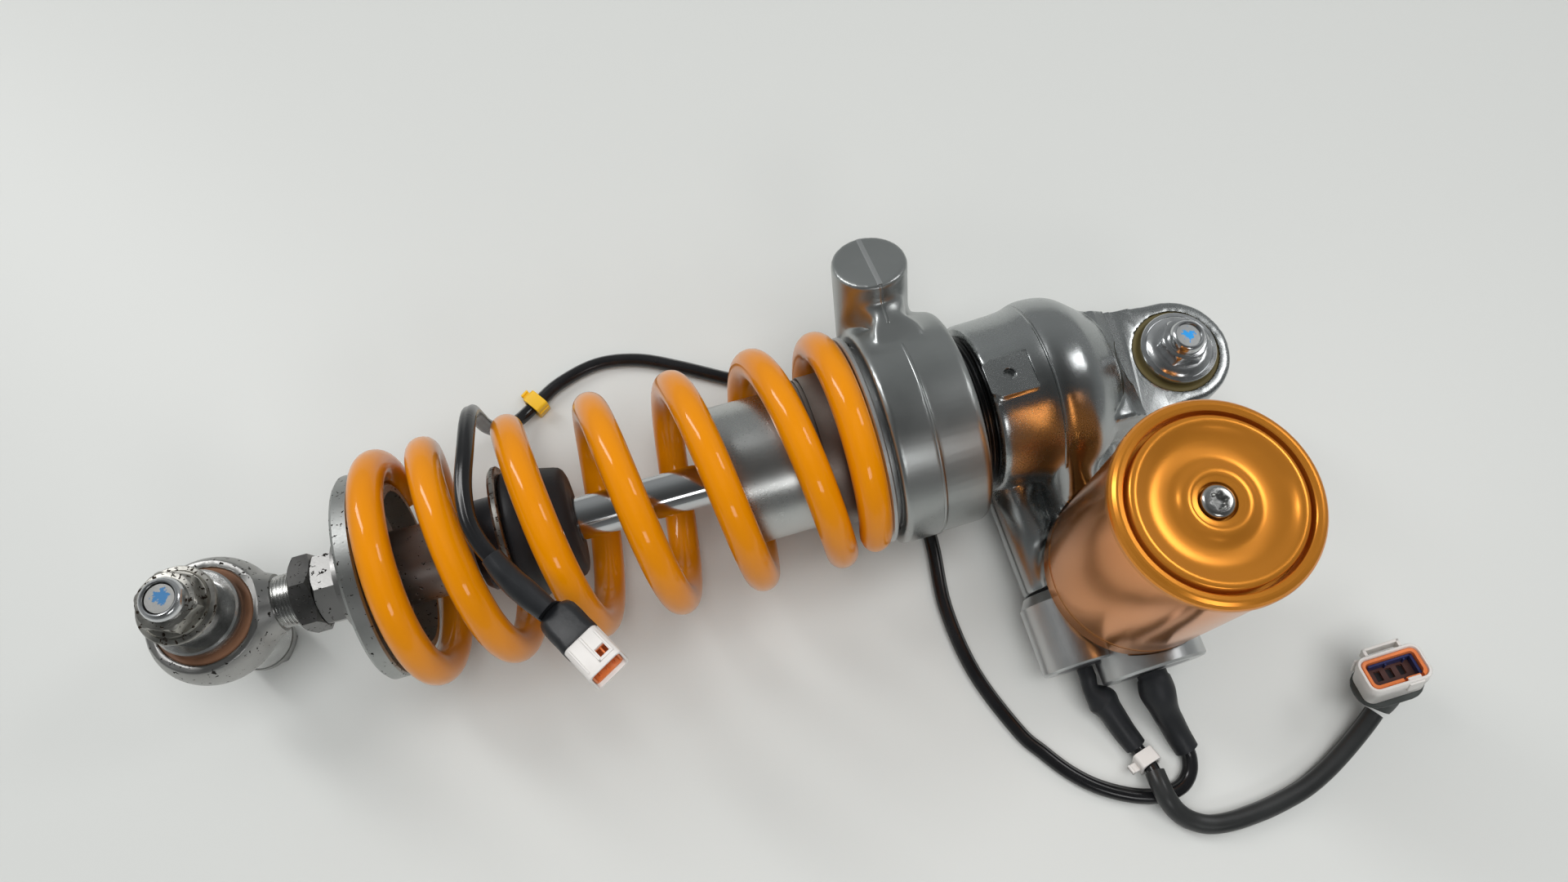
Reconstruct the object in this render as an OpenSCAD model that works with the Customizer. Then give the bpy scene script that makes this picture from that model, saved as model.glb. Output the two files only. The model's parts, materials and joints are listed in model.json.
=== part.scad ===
// Motorcycle rear shock absorber lying on a bench.
// X runs along the damper from the lower eye to the upper eye, Z is up, and the
// origin is the centre of the lower eye. All sizes are in millimetres.

/* [Layout] */
// Distance between the eye centres, measured along the damper
eye_to_eye = 316.5; // [308:0.5:325]
// Height of the damper's axis over the surface that the shock lies on
axis_height = 43; // [42.6:0.1:46]
// Wheel-travel stroke of the damper rod, bump stop fully squashed
stroke = 56; // [30:1:58]

/* [Lower eye] */
// Widest radius of the lower eye
eye_r = 19.8; // [18.5:0.1:22]
// Radius of the lower eye's flat faces
eye_face_r = 17.2; // [16.2:0.1:18.4]
// Width of the lower eye between its faces
eye_w = 16; // [14:0.5:18]
// Radius of the bearing's outer race
race_r = 15; // [14:0.1:16]
// Radius of the spherical bearing's ball
ball_r = 12.5; // [12:0.1:13]
// Radius of the threaded stud
stud_r = 8.3; // [7.5:0.1:9]
// Distance from the eye's centre to the stud's shoulder
neck_len = 20.5; // [19:0.5:23]
// Distance from the eye's centre to the stud's inner end
stud_end = 56; // [50:1:60]
// Width across flats of the lock nut
lock_nut_af = 22; // [20:0.5:26]
// Thickness of the lock nut
lock_nut_t = 6.6; // [5:0.2:8]
// Distance from the eye's centre to the lock nut
lock_nut_x = 26.6; // [25:0.2:28]

/* [Lower spring seat and rod end] */
// Radius of the rod end's sleeve
rod_end_r = 12.2; // [11:0.1:13]
// Width across flats of the rod end's hexagon
rod_end_af = 21; // [20:0.5:24]
// Length of the rod end's hexagon
rod_end_hex_len = 8.2; // [6:0.2:9]
// Distance from the lower eye to the spring seat's outer face
seat_x = 47.8; // [46:0.2:50]
// Radius of the lower spring seat
seat_r = 32.8; // [31:0.2:36]
// Thickness of the lower seat's flange
seat_t = 5.7; // [4:0.1:8]
// Length of the collar that centres the spring
pilot_len = 7.5; // [5:0.5:10]
// Distance from the lower eye to the bump plate
plate_x = 92; // [88:0.5:94]
// Radius of the bump plate
plate_r = 23.3; // [20:0.1:25]
// Thickness of the bump plate
plate_t = 2.4; // [1.6:0.1:3.5]
// Radius of the bump rubber at the plate
bump_r = 20.8; // [18:0.1:22.5]
// Length of the bump rubber
bump_len = 20.3; // [16:0.5:24]
// Length of the black collar behind the bump plate
collar_len = 9; // [6:0.5:14]
// Radius of the black collar behind the bump plate
collar_r = 14.6; // [13.5:0.1:17]

/* [Damper] */
// Radius of the piston rod
rod_r = 7; // [6:0.1:8]
// Outer radius of the damper tube
tube_r = 23.4; // [22.6:0.1:24]
// Wall of the damper tube
tube_wall = 2; // [1.5:0.1:2.6]
// Oil gap between the inner tube and the damper tube
oil_gap = 1.8; // [1.2:0.1:2.6]
// Wall of the inner tube
inner_wall = 1.6; // [1:0.1:1.8]
// Length of the damper tube outside the head
tube_len = 85.6; // [82:0.2:90]
// Length of tube that is screwed into the head
tube_engaged = 11.5; // [8:0.5:13]
// Height of the tube's thread over its plain outside
thread_h = 1.5; // [1.1:0.1:1.8]
// Length of thread between the preload ring and the head
thread_shown = 6.2; // [4:0.1:8]
// Thickness of the damper piston
piston_t = 14; // [10:0.5:16]

/* [Coil spring] */
// Thickness of the spring's wire
wire_d = 10.5; // [9:0.1:11]
// Clear space between the coils and the upper seat's sleeve
coil_space = 2.6; // [2.3:0.05:3.3]

/* [Preload ring and upper seat] */
// Outer radius of the preload ring
ring_r = 36.2; // [35.6:0.1:38]
// Length of the preload ring
ring_len = 28.8; // [27:0.2:30]
// Width of the oil space between the damper tube and the preload ring
annulus_w = 8; // [7.2:0.1:8.8]
// How far the upper seat's flange stands out past its piston
flange_step = 3.2; // [2:0.1:3.8]
// Thickness of the upper seat's flange
flange_t = 2; // [1.6:0.1:3.4]
// Wall of the upper seat's sleeve
sleeve_wall = 2; // [1.5:0.1:2.6]
// Length of the sleeve that shows inside the spring
sleeve_len = 18.3; // [14:0.1:22]
// Travel of the spring preload
preload_travel = 8; // [4:0.5:9]
// Radius of the hydraulic boss on the preload ring
boss_r = 12; // [10:0.1:12.6]
// Lean of the hydraulic boss away from the vertical
boss_lean = 20; // [16:0.5:24]
// Length of the hydraulic boss
boss_len = 62; // [50:1:64]

/* [Head casting] */
// Wall of the head's collar outside the tube's thread
head_wall = 3.4; // [3:0.1:3.9]
// How far the dome stands out over the collar
dome_step = 2.5; // [2:0.1:3.5]
// Distance from the head's open end to the upper eye
head_len = 68.9; // [66:0.1:71]
// Length of the dome's rounded end
dome_len = 21.4; // [20:0.2:24]
// Outer radius of the upper eye
upper_eye_r = 18.3; // [17:0.1:20]
// Width of the upper eye between its faces
upper_eye_w = 20; // [17:0.5:22]
// Offset of the upper eye from the damper's axis
upper_eye_y = -2.6; // [-4:0.1:0]
// Radius of the threaded hole on the head's pad
pad_hole_r = 2; // [1.6:0.1:2.4]
// Depth of the threaded hole on the head's pad
pad_hole_depth = 2.2; // [1.6:0.1:2.3]

/* [Reservoir] */
// Radius of the reservoir body
res_r = 28.2; // [27.4:0.1:29]
// Bore radius of the reservoir
res_bore_r = 24.9; // [24.2:0.1:25.4]
// Height of the reservoir body
res_h = 74.8; // [66:0.2:80]
// Height of the reservoir's rim
rim_h = 4.6; // [4:0.1:7]
// Radius of the reservoir's rim
rim_r = 28.9; // [28.6:0.1:30]
// Distance from the head's open end to the reservoir's axis
res_x = 34.7; // [33:0.1:36]
// Sideways offset of the reservoir's axis
res_y = -63.2; // [-65:0.1:-62.4]
// Height of the reservoir's underside over the damper's axis
res_z = -12.3; // [-12.6:0.1:-9]

/* [Valve block] */
// Radius of the larger solenoid housing
big_lobe_r = 17.4; // [16:0.1:17.4]
// Radius of the smaller solenoid housing
small_lobe_r = 12; // [11:0.1:13]
// Length of the larger solenoid housing
big_lobe_len = 34; // [32:0.5:38]
// Length of the smaller solenoid housing
small_lobe_len = 26; // [24:0.5:30]
// Distance between the axes of the two solenoid housings
lobe_spacing = 23.6; // [22.5:0.1:25]

/* [Mount bolts] */
// Radius of the mount bolts
bolt_r = 5; // [4.5:0.1:5.4]
// Width across flats of the mount nuts
nut_af = 14; // [13:0.2:16]
// Radius of the mount nuts' flange
nut_flange_r = 12; // [10.5:0.1:13]
// Height of the bolt heads
bolt_head_h = 9.5; // [8:0.1:10]
// Height of the lower mount's top sleeve over the eye's centre
lower_top = 23.4; // [20:0.2:27]
// Height of the upper mount's sleeve over the eye's centre
upper_top = 12; // [11.4:0.1:14]

/* [Leads] */
// Radius of the long lead
lead_a_r = 2.5; // [2:0.1:2.5]
// Radius of the short lead
lead_b_r = 2.4; // [2:0.1:2.6]
// Radius of the sleeve over the short lead
sheath_r = 3.4; // [3:0.1:3.4]

/* [Hidden] */
$fn = 96;
// Radial clearance of a running fit
run = 0.05;
// Space between pieces that move past each other
gap = 0.3;
// Overlap that makes a cut clean
cut = 1;
floor_z = -axis_height;

// Radii that follow the damper tube, from the inside out
tube_bore_r = tube_r - tube_wall;
bore_r = tube_bore_r - oil_gap - inner_wall;
thread_r = tube_r + thread_h;
sleeve_r = tube_r + sleeve_wall;
coil_r = sleeve_r + coil_space + wire_d / 2;
annulus_r = tube_r + annulus_w;
flange_r = annulus_r + flange_step;
head_r = thread_r + head_wall;
dome_r = head_r + dome_step;

// Stations along the damper, worked out from both ends
upper_eye_x = eye_to_eye;
head_x = upper_eye_x - head_len;
tube_x = head_x - tube_len;
ring_end_x = head_x - thread_shown;
ring_x = ring_end_x - ring_len;
flange_x = ring_x - 1.9 - flange_t;
sleeve_x = flange_x - sleeve_len;
thread_x = ring_end_x - 14;
annulus_end_x = thread_x - 2;
spring_x = seat_x + seat_t;
hex_x = lock_nut_x + lock_nut_t + 0.1;
bump_end_x = plate_x + plate_t + bump_len;
rod_x = stud_end + 6;
seal_head_x = tube_x + 2.3;
seal_head_len = 20;
piston_x = tube_x + 27;
tube_end_x = head_x + tube_engaged;
cavity_end_x = max(tube_end_x, piston_x + piston_t + 11.4 + stroke) + 2.5;

// Places in the head, measured from its open end
pad_hole_x = head_x + 7.5;
pad_z = head_r - 0.2;
crest_x = head_x + 26;
res_axis = [head_x + res_x, res_y];
lobe_z = floor_z + big_lobe_r;
small_lobe_x = res_axis[0] - lobe_spacing;
block_y = -61.5;
res_top = res_z + res_h;
upper_eye = [upper_eye_x, upper_eye_y, 0];

// Turns a shape that stands along Z so that it lies along X from station x
module along_x(x) translate([x, 0, 0]) rotate([0, 90, 0]) children();

// Turns a shape that stands along Z so that it points along -Y from y
module along_minus_y(x, y, z) translate([x, y, z]) rotate([90, 0, 0]) children();

// A plain ring or bush that stands along Z from z = 0
module ring(r_out, r_in, h) difference() {
    cylinder(r = r_out, h = h);
    translate([0, 0, -cut]) cylinder(r = r_in, h = h + 2 * cut);
}

// A solid of revolution from [radius, height] points
module turned(points) rotate_extrude() polygon(points);

// A hexagon of the given width across flats, standing along Z
module hexagon(af, h) cylinder(r = af / 2 / cos(30), h = h, $fn = 6);

// A hexagon with both ends turned down to a cone
module turned_hexagon(af, h) {
    corner = af / 2 / cos(30);
    intersection() {
        hexagon(af, h);
        turned([[0, 0], [af / 2, 0], [corner + 0.2, 1.2], [corner + 0.2, h - 1.2],
            [af / 2, h], [0, h]]);
    }
}

function unit(v) = v / norm(v);
function tangent(p, i) = unit(p[min(i + 1, len(p) - 1)] - p[max(i - 1, 0)]);
// Carries a side direction along a path without twist
function carry(p, n, i = 0, out = []) = i == len(p) ? out :
    let (t = tangent(p, i), m = unit(n - (n * t) * t)) carry(p, m, i + 1, concat(out, [m]));
function spline(a, b, c, d, t) = 0.5 * (2 * b + (c - a) * t + (2 * a - 5 * b + 4 * c - d) * t * t
    + (3 * b - a - 3 * c + d) * t * t * t);
// Rounds a route through its own points, with steps stretches to a span
function rounded(p, steps) = let (n = len(p) - 1) concat([for (i = [0:n - 1], k = [0:steps - 1])
    spline(p[max(i - 1, 0)], p[i], p[i + 1], p[min(i + 2, n)], k / steps)], [p[n]]);

// One closed tube along path p, whose radii are one number or one to a ring
module tube_along(p, radii, sides, start = [0, 0, 1]) {
    side = carry(p, start);
    rings = len(p);
    points = [for (i = [0:rings - 1]) let (t = tangent(p, i), n = side[i], b = cross(t, n),
        r = is_num(radii) ? radii : radii[i])
        for (k = [0:sides - 1]) p[i] + r * (cos(360 * k / sides) * n + sin(360 * k / sides) * b)];
    walls = [for (i = [0:rings - 2], k = [0:sides - 1]) let (a = i * sides, m = (k + 1) % sides)
        each [[a + k, a + sides + k, a + sides + m], [a + k, a + sides + m, a + m]]];
    last = (rings - 1) * sides;
    caps = [for (k = [1:sides - 2]) each [[0, k, k + 1], [last, last + k + 1, last + k]]];
    polyhedron(points, concat(walls, caps), convexity = 8);
}

// Lower eye and its spherical bearing

module lower_eye() color([0.55, 0.55, 0.54]) {
    sag = eye_r - eye_face_r;
    arc = (pow(eye_w / 2, 2) + sag * sag) / (2 * sag);
    difference() {
        union() {
            rotate_extrude() intersection() {
                translate([eye_r - arc, 0]) circle(arc);
                translate([race_r - 1, -eye_w / 2]) square([eye_r, eye_w]);
            }
            along_x(13) cylinder(r1 = 12.5, r2 = stud_r + 0.7, h = neck_len - 13);
            along_x(neck_len - 0.6) cylinder(r = stud_r, h = stud_end - neck_len + 0.6);
        }
        translate([0, 0, -eye_w / 2 - 10]) cylinder(r = race_r, h = eye_w + 20);
    }
}

race_w = eye_w - 2;
module lower_bearing_race() color([0.32, 0.32, 0.33]) difference() {
    translate([0, 0, -race_w / 2]) cylinder(r = race_r, h = race_w);
    sphere(ball_r + run);
}

module lower_eye_seals() color([0.36, 0.2, 0.12]) for (side = [0, 1]) mirror([0, 0, side])
    translate([0, 0, race_w / 2]) ring(race_r, 10.9, (eye_w - race_w) / 2);

ball_w = eye_w + 2;
ball_bore_r = 8;
module lower_bearing_ball() color([0.75, 0.75, 0.76]) difference() {
    intersection() {
        sphere(ball_r);
        translate([0, 0, -ball_w / 2]) cylinder(r = ball_r + 1, h = ball_w);
    }
    translate([0, 0, -ball_w]) cylinder(r = ball_bore_r, h = 2 * ball_w);
}

// Stepped sleeves: each has a spigot in the ball, a collar and a shank
spigot_r = ball_bore_r - run;
collar_z = ball_w / 2 + gap;
head_seat_z = axis_height - bolt_head_h;
module lower_sleeve(top) difference() {
    turned([[0, 0.5], [spigot_r, 0.5], [spigot_r, collar_z], [12, collar_z],
        [13, collar_z + 0.8], [13, collar_z + 4.2], [12.4, collar_z + 4.8],
        [10.2, collar_z + 4.8], [10.2, top - 0.6], [9.6, top], [0, top]]);
    translate([0, 0, -cut]) cylinder(r = bolt_r + run, h = top + 2 * cut);
}
module lower_sleeves() color([0.66, 0.67, 0.69]) {
    lower_sleeve(lower_top);
    mirror([0, 0, 1]) lower_sleeve(head_seat_z);
}

// Mount bolts and nuts, standing along Z on the axis of their eye
nut_h = 11;
module mount_bolt(seat_z) {
    translate([0, 0, floor_z]) turned_hexagon(15, bolt_head_h - 1.5);
    translate([0, 0, floor_z + bolt_head_h - 2.2]) cylinder(r = 10.4, h = 2.2);
    translate([0, 0, floor_z + bolt_head_h - cut]) cylinder(r = bolt_r,
        h = axis_height - bolt_head_h + cut + seat_z + nut_h - 1.6);
    translate([0, 0, seat_z + nut_h - 1.6]) cylinder(r1 = bolt_r, r2 = bolt_r - 0.8, h = 0.8);
}
module mount_nut(seat_z, r) translate([0, 0, seat_z]) difference() {
    union() {
        turned([[0, 0], [r, 0], [r, 1], [r - 1.4, 1.7], [nut_af / 2 + 0.9, 2.6], [0, 2.6]]);
        intersection() {
            hexagon(nut_af, 8);
            turned([[0, 0], [9, 0], [9, 6.8], [nut_af / 2 - 0.2, 8], [0, 8]]);
        }
        turned([[0, 7], [6.9, 7], [6.9, nut_h - 1.6], [6.2, nut_h - 0.4], [5.6, nut_h],
            [0, nut_h]]);
    }
    translate([0, 0, -cut]) cylinder(r = bolt_r + run, h = nut_h + 2 * cut);
}
module lower_bolt() color([0.5, 0.5, 0.48]) mount_bolt(lower_top);
module lower_nut() color([0.45, 0.44, 0.4]) mount_nut(lower_top, nut_flange_r);

// Lock nut, rod end and lower spring seat

module lower_lock_nut() color([0.42, 0.41, 0.4]) along_x(lock_nut_x) difference() {
    turned_hexagon(lock_nut_af, lock_nut_t);
    translate([0, 0, -cut]) cylinder(r = stud_r + run, h = lock_nut_t + 2 * cut);
}

sleeve_end_x = plate_x - collar_len;
module rod_end() color([0.6, 0.6, 0.58]) difference() {
    union() {
        along_x(hex_x) rotate(14) turned_hexagon(rod_end_af, rod_end_hex_len);
        along_x(hex_x + rod_end_hex_len - 0.4)
            cylinder(r = rod_end_r + 2.4, h = seat_x - hex_x - rod_end_hex_len + 0.4);
        along_x(seat_x - cut) cylinder(r = rod_end_r, h = sleeve_end_x - seat_x + cut);
    }
    along_x(hex_x - cut) cylinder(r = stud_r + run, h = stud_end - hex_x + cut + 4);
    along_x(rod_x) cylinder(r = rod_r + run, h = sleeve_end_x - rod_x + cut);
}

seat_bore_r = rod_end_r + run;
pilot_r = coil_r - wire_d / 2 - 0.6;
module lower_spring_seat() color([0.5, 0.51, 0.5]) along_x(seat_x) difference() {
    turned([[0, 0], [seat_r - 1, 0], [seat_r, 1], [seat_r, seat_t - 0.6], [seat_r - 0.6, seat_t],
        [pilot_r, seat_t], [pilot_r, seat_t + pilot_len - 1], [pilot_r - 1, seat_t + pilot_len],
        [0, seat_t + pilot_len]]);
    translate([0, 0, seat_t - 2.2]) turned([[0, 0], [pilot_r - 5, 0], [pilot_r - 3, 2],
        [pilot_r - 3, pilot_len + 4], [0, pilot_len + 4]]);
    translate([0, 0, -cut]) cylinder(r = seat_bore_r, h = seat_t + 2 * cut);
}

module rod_collar() color([0.08, 0.08, 0.09]) along_x(sleeve_end_x) difference() {
    turned([[0, 0], [collar_r - 1.5, 0], [collar_r, 2], [collar_r, collar_len], [0, collar_len]]);
    translate([0, 0, -cut]) cylinder(r = rod_r + run, h = collar_len + 2 * cut);
}

module bump_plate() color([0.35, 0.35, 0.36]) along_x(plate_x) difference() {
    turned([[0, 0], [plate_r - 0.8, 0], [plate_r, 0.8], [plate_r, plate_t - 0.4],
        [plate_r - 0.4, plate_t], [0, plate_t]]);
    translate([0, 0, -cut]) cylinder(r = rod_r + run, h = plate_t + 2 * cut);
}

module bump_rubber() color([0.06, 0.06, 0.07]) along_x(plate_x + plate_t) difference() {
    turned([[0, 0], [bump_r, 0], [bump_r, bump_len * 0.3], [bump_r - 0.8, bump_len * 0.42],
        [bump_r - 2.6, bump_len - 3], [bump_r - 4, bump_len - 1.2], [rod_r + 2.5, bump_len],
        [0, bump_len]]);
    translate([0, 0, -cut]) cylinder(r = rod_r + run, h = bump_len + 2 * cut);
}

// Piston rod, piston and the parts on them

rod_tip_r = 5;
shim_t = 1.8;
rod_len = piston_x - shim_t - rod_x;
rod_tip_len = piston_t + 2 * shim_t + 8;
module piston_rod() color([0.86, 0.87, 0.88]) along_x(rod_x) {
    cylinder(r = rod_r, h = rod_len);
    translate([0, 0, rod_len - 0.5]) cylinder(r = rod_tip_r, h = rod_tip_len + 0.5);
}

band_w = 8;
band_t = 1.4;
module damper_piston() color([0.62, 0.63, 0.65]) along_x(piston_x) difference() {
    cylinder(r = bore_r - 0.3, h = piston_t);
    translate([0, 0, -cut]) cylinder(r = rod_tip_r + run, h = piston_t + 2 * cut);
    translate([0, 0, (piston_t - band_w) / 2]) ring(bore_r + cut, bore_r - 0.3 - band_t, band_w);
    for (turn = [0:90:270]) rotate(turn) translate([9.5, 0, -cut])
        cylinder(r = 1.8, h = piston_t + 2 * cut);
}

module piston_band() color([0.15, 0.13, 0.12]) along_x(piston_x + (piston_t - band_w) / 2)
    ring(bore_r - run, bore_r - 0.3 - band_t, band_w);

module piston_shims() color([0.7, 0.72, 0.76]) for (x = [piston_x - shim_t, piston_x + piston_t])
    along_x(x) difference() {
        turned([[0, 0], [13, 0], [13, shim_t], [0, shim_t]]);
        translate([0, 0, -cut]) cylinder(r = rod_tip_r + run, h = shim_t + 2 * cut);
    }

module piston_nut() color([0.6, 0.58, 0.5]) along_x(piston_x + piston_t + shim_t) difference() {
    turned_hexagon(15, 6);
    translate([0, 0, -cut]) cylinder(r = rod_tip_r + run, h = 6 + 2 * cut);
}

// Damper tube, inner tube and seal head

module damper_tube() color([0.62, 0.63, 0.62]) {
    length = tube_end_x - tube_x;
    along_x(tube_x) difference() {
        union() {
            turned([[0, 0], [tube_r - 1.2, 0], [tube_r, 1.2], [tube_r, thread_x - tube_x],
                [0, thread_x - tube_x]]);
            translate([0, 0, thread_x - tube_x - cut]) turned([[0, 0], [tube_r, 0],
                [tube_r, cut], [thread_r, cut + thread_r - tube_r],
                [thread_r, length - thread_x + tube_x + cut], [0, length - thread_x + tube_x + cut]]);
        }
        translate([0, 0, -cut]) cylinder(r = tube_bore_r, h = length + 2 * cut);
        translate([0, 0, 0.9]) ring(tube_bore_r + 0.8, tube_bore_r - cut, 1.2);
    }
}

inner_r = bore_r + inner_wall;
inner_x = seal_head_x + seal_head_len;
module inner_tube() color([0.6, 0.6, 0.62]) along_x(inner_x)
    ring(inner_r, bore_r, tube_end_x - inner_x);

wiper_r = 10.2;
seal_r = 11;
bush_r = 9;
module seal_head() color([0.5, 0.5, 0.53]) along_x(seal_head_x) difference() {
    cylinder(r = tube_bore_r - run, h = seal_head_len);
    translate([0, 0, -cut]) cylinder(r = wiper_r, h = 4 + cut);
    translate([0, 0, 3]) cylinder(r = rod_r + 0.3, h = seal_head_len);
    translate([0, 0, 5]) cylinder(r = seal_r, h = 6);
    translate([0, 0, 12]) cylinder(r = bush_r, h = seal_head_len);
    translate([0, 0, 14]) ring(tube_bore_r + cut, tube_bore_r - 2.2, 2.6);
}
module seal_head_o_ring() color([0.05, 0.05, 0.05]) along_x(seal_head_x + 14.2)
    ring(tube_bore_r - run, tube_bore_r - 2.1, 2.2);
module rod_bush() color([0.62, 0.45, 0.25]) along_x(seal_head_x + 12)
    ring(bush_r, rod_r + run, seal_head_len - 12);
module rod_seal() color([0.07, 0.06, 0.06]) along_x(seal_head_x + 5) ring(seal_r, rod_r + run, 6);
module rod_wiper() color([0.05, 0.05, 0.06]) along_x(seal_head_x) ring(wiper_r, rod_r + run, 3.6);
module retaining_ring() color([0.4, 0.4, 0.42]) along_x(tube_x + 0.95)
    ring(tube_bore_r + 0.75, tube_bore_r - 3, 1.1);
module topout_ring() color([0.1, 0.1, 0.12]) along_x(inner_x)
    ring(14, rod_r + 0.3, piston_x - shim_t - gap - inner_x);

// Coil spring with closed ends. Its pitch grows over the first turn and shrinks over
// the last, so both ends lie against their seats.
coil_sides = 12;
coil_steps = 24;
first_turn = -0.15;
last_turn = 6.43;
ramp_in = 0.84;
ramp_out = [5.4, 6.3];
function rise(u) = u <= 0 ? 0 : u < ramp_in ? u * u / (2 * ramp_in) :
    u < ramp_out[0] ? u - ramp_in / 2 :
    let (v = min(u, ramp_out[1]) - ramp_out[0])
    ramp_out[0] - ramp_in / 2 + v - v * v / (2 * (ramp_out[1] - ramp_out[0]));
coil_pitch = (flange_x - spring_x - wire_d) / rise(last_turn);
// Turn zero stands at this angle from straight up, towards +Y
coil_phase = 67;
function coil_point(u) = let (a = coil_phase - 360 * u)
    [spring_x + wire_d / 2 + coil_pitch * rise(u), coil_r * sin(a), coil_r * cos(a)];
coil_rings = ceil((last_turn - first_turn) * coil_steps);
coil_path = [for (i = [0:coil_rings]) coil_point(first_turn
    + (last_turn - first_turn) * i / coil_rings)];
least_coil_gap = min([for (i = [0:coil_rings], j = [i + coil_steps / 2:1:coil_rings])
    norm(coil_path[i] - coil_path[j])]) - wire_d;
echo(least_coil_gap = least_coil_gap);

module coil_spring() color([1, 0.55, 0.03]) tube_along(coil_path, wire_d / 2, coil_sides, [1, 0, 0]);

// Upper spring seat: sleeve, flange and the annular piston of the hydraulic preload

slide_r = tube_r + run;
ring_groove_w = 1.4;
module upper_spring_seat() color([0.56, 0.54, 0.51]) along_x(sleeve_x) difference() {
    flange_at = flange_x - sleeve_x;
    piston_at = flange_at + flange_t;
    whole = annulus_end_x - sleeve_x;
    turned([[0, 0], [sleeve_r - 0.9, 0], [sleeve_r - 0.5, 0.6], [sleeve_r - 0.5, 1.3],
        [sleeve_r - 1, 1.3], [sleeve_r - 1, 1.8], [sleeve_r - 0.5, 1.8], [sleeve_r - 0.5, 2.6],
        [sleeve_r - 1, 2.6], [sleeve_r - 1, 3.1], [sleeve_r, 3.1],
        [sleeve_r, flange_at], [flange_r - 0.5, flange_at], [flange_r, flange_at + 0.5],
        [flange_r, piston_at - 0.5], [flange_r - 0.5, piston_at], [annulus_r - 1.2, piston_at],
        [annulus_r - 1.2, piston_at + 3], [annulus_r, piston_at + 4], [annulus_r, whole - 6],
        [annulus_r - 1.6, whole - 6], [annulus_r - 1.6, whole - 3], [annulus_r, whole - 3],
        [annulus_r, whole], [0, whole]]);
    translate([0, 0, -cut]) cylinder(r = slide_r, h = whole + 2 * cut);
    translate([0, 0, whole - 6]) cylinder(r = slide_r + 1.6, h = 3);
}
module preload_o_rings() color([0.05, 0.05, 0.05]) along_x(annulus_end_x - 5.8) {
    ring(annulus_r, annulus_r - 1.5, 2.6);
    ring(slide_r + 1.5, slide_r, 2.6);
}

// Preload ring: the hydraulic cylinder round the annular piston, with its boss
boss_top = [ring_x + 11.2, 44.7, 35];
module boss_frame() translate(boss_top) rotate([-boss_lean, 0, 0]) children();
module preload_ring() color([0.5, 0.52, 0.51]) difference() {
    union() {
        along_x(ring_x) turned([[0, 0], [ring_r - 1.4, 0], [ring_r - 0.4, 0.5], [ring_r, 1.6],
            [ring_r, 12.5], [ring_r - 0.5, 13.1], [ring_r - 0.7, ring_len - 2],
            [ring_r - 1, ring_len - 1], [ring_r - 1.8, ring_len], [0, ring_len]]);
        boss_frame() translate([0, 0, -boss_len]) turned([[0, 0], [boss_r - 2.5, 0],
            [boss_r, 2.5], [boss_r, boss_len - 1], [boss_r - 0.3, boss_len - 0.3],
            [boss_r - 1, boss_len], [0, boss_len]]);
        // The neck that joins the boss to the ring
        hull() {
            boss_frame() translate([0, -4, -17]) cylinder(r = 6.6, h = 10, $fn = 32);
            along_x(boss_top[0] - 5.4) translate([-ring_r * 0.76, ring_r * 0.52, 0])
                cylinder(r = 4.4, h = 14.6, $fn = 32);
        }
    }
    along_x(ring_x - 6) cylinder(r = annulus_r + run, h = annulus_end_x - ring_x + 8);
    along_x(ring_x - 6) cylinder(r = thread_r + run, h = ring_len + 12);
    along_x(ring_x - 10) cylinder(r = flange_r + 0.8, h = 10 - 0.01);
}

// Head casting: collar, dome, neck, upper eye, reservoir foot and two valve arms

foot_r = 27.2;
foot_t = 11;
arm_r = 9.2;
seal_pocket_r = 14.3;
bearing_r = 11.5;
// The dome's rounded end, as a share of its radius over a share of its length
dome_curve = [[1, 0], [0.983, 0.22], [0.94, 0.38], [0.862, 0.53], [0.755, 0.72], [0.683, 0.83],
    [0.585, 0.91], [0.455, 0.965], [0.292, 0.991], [0, 1]];
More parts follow.
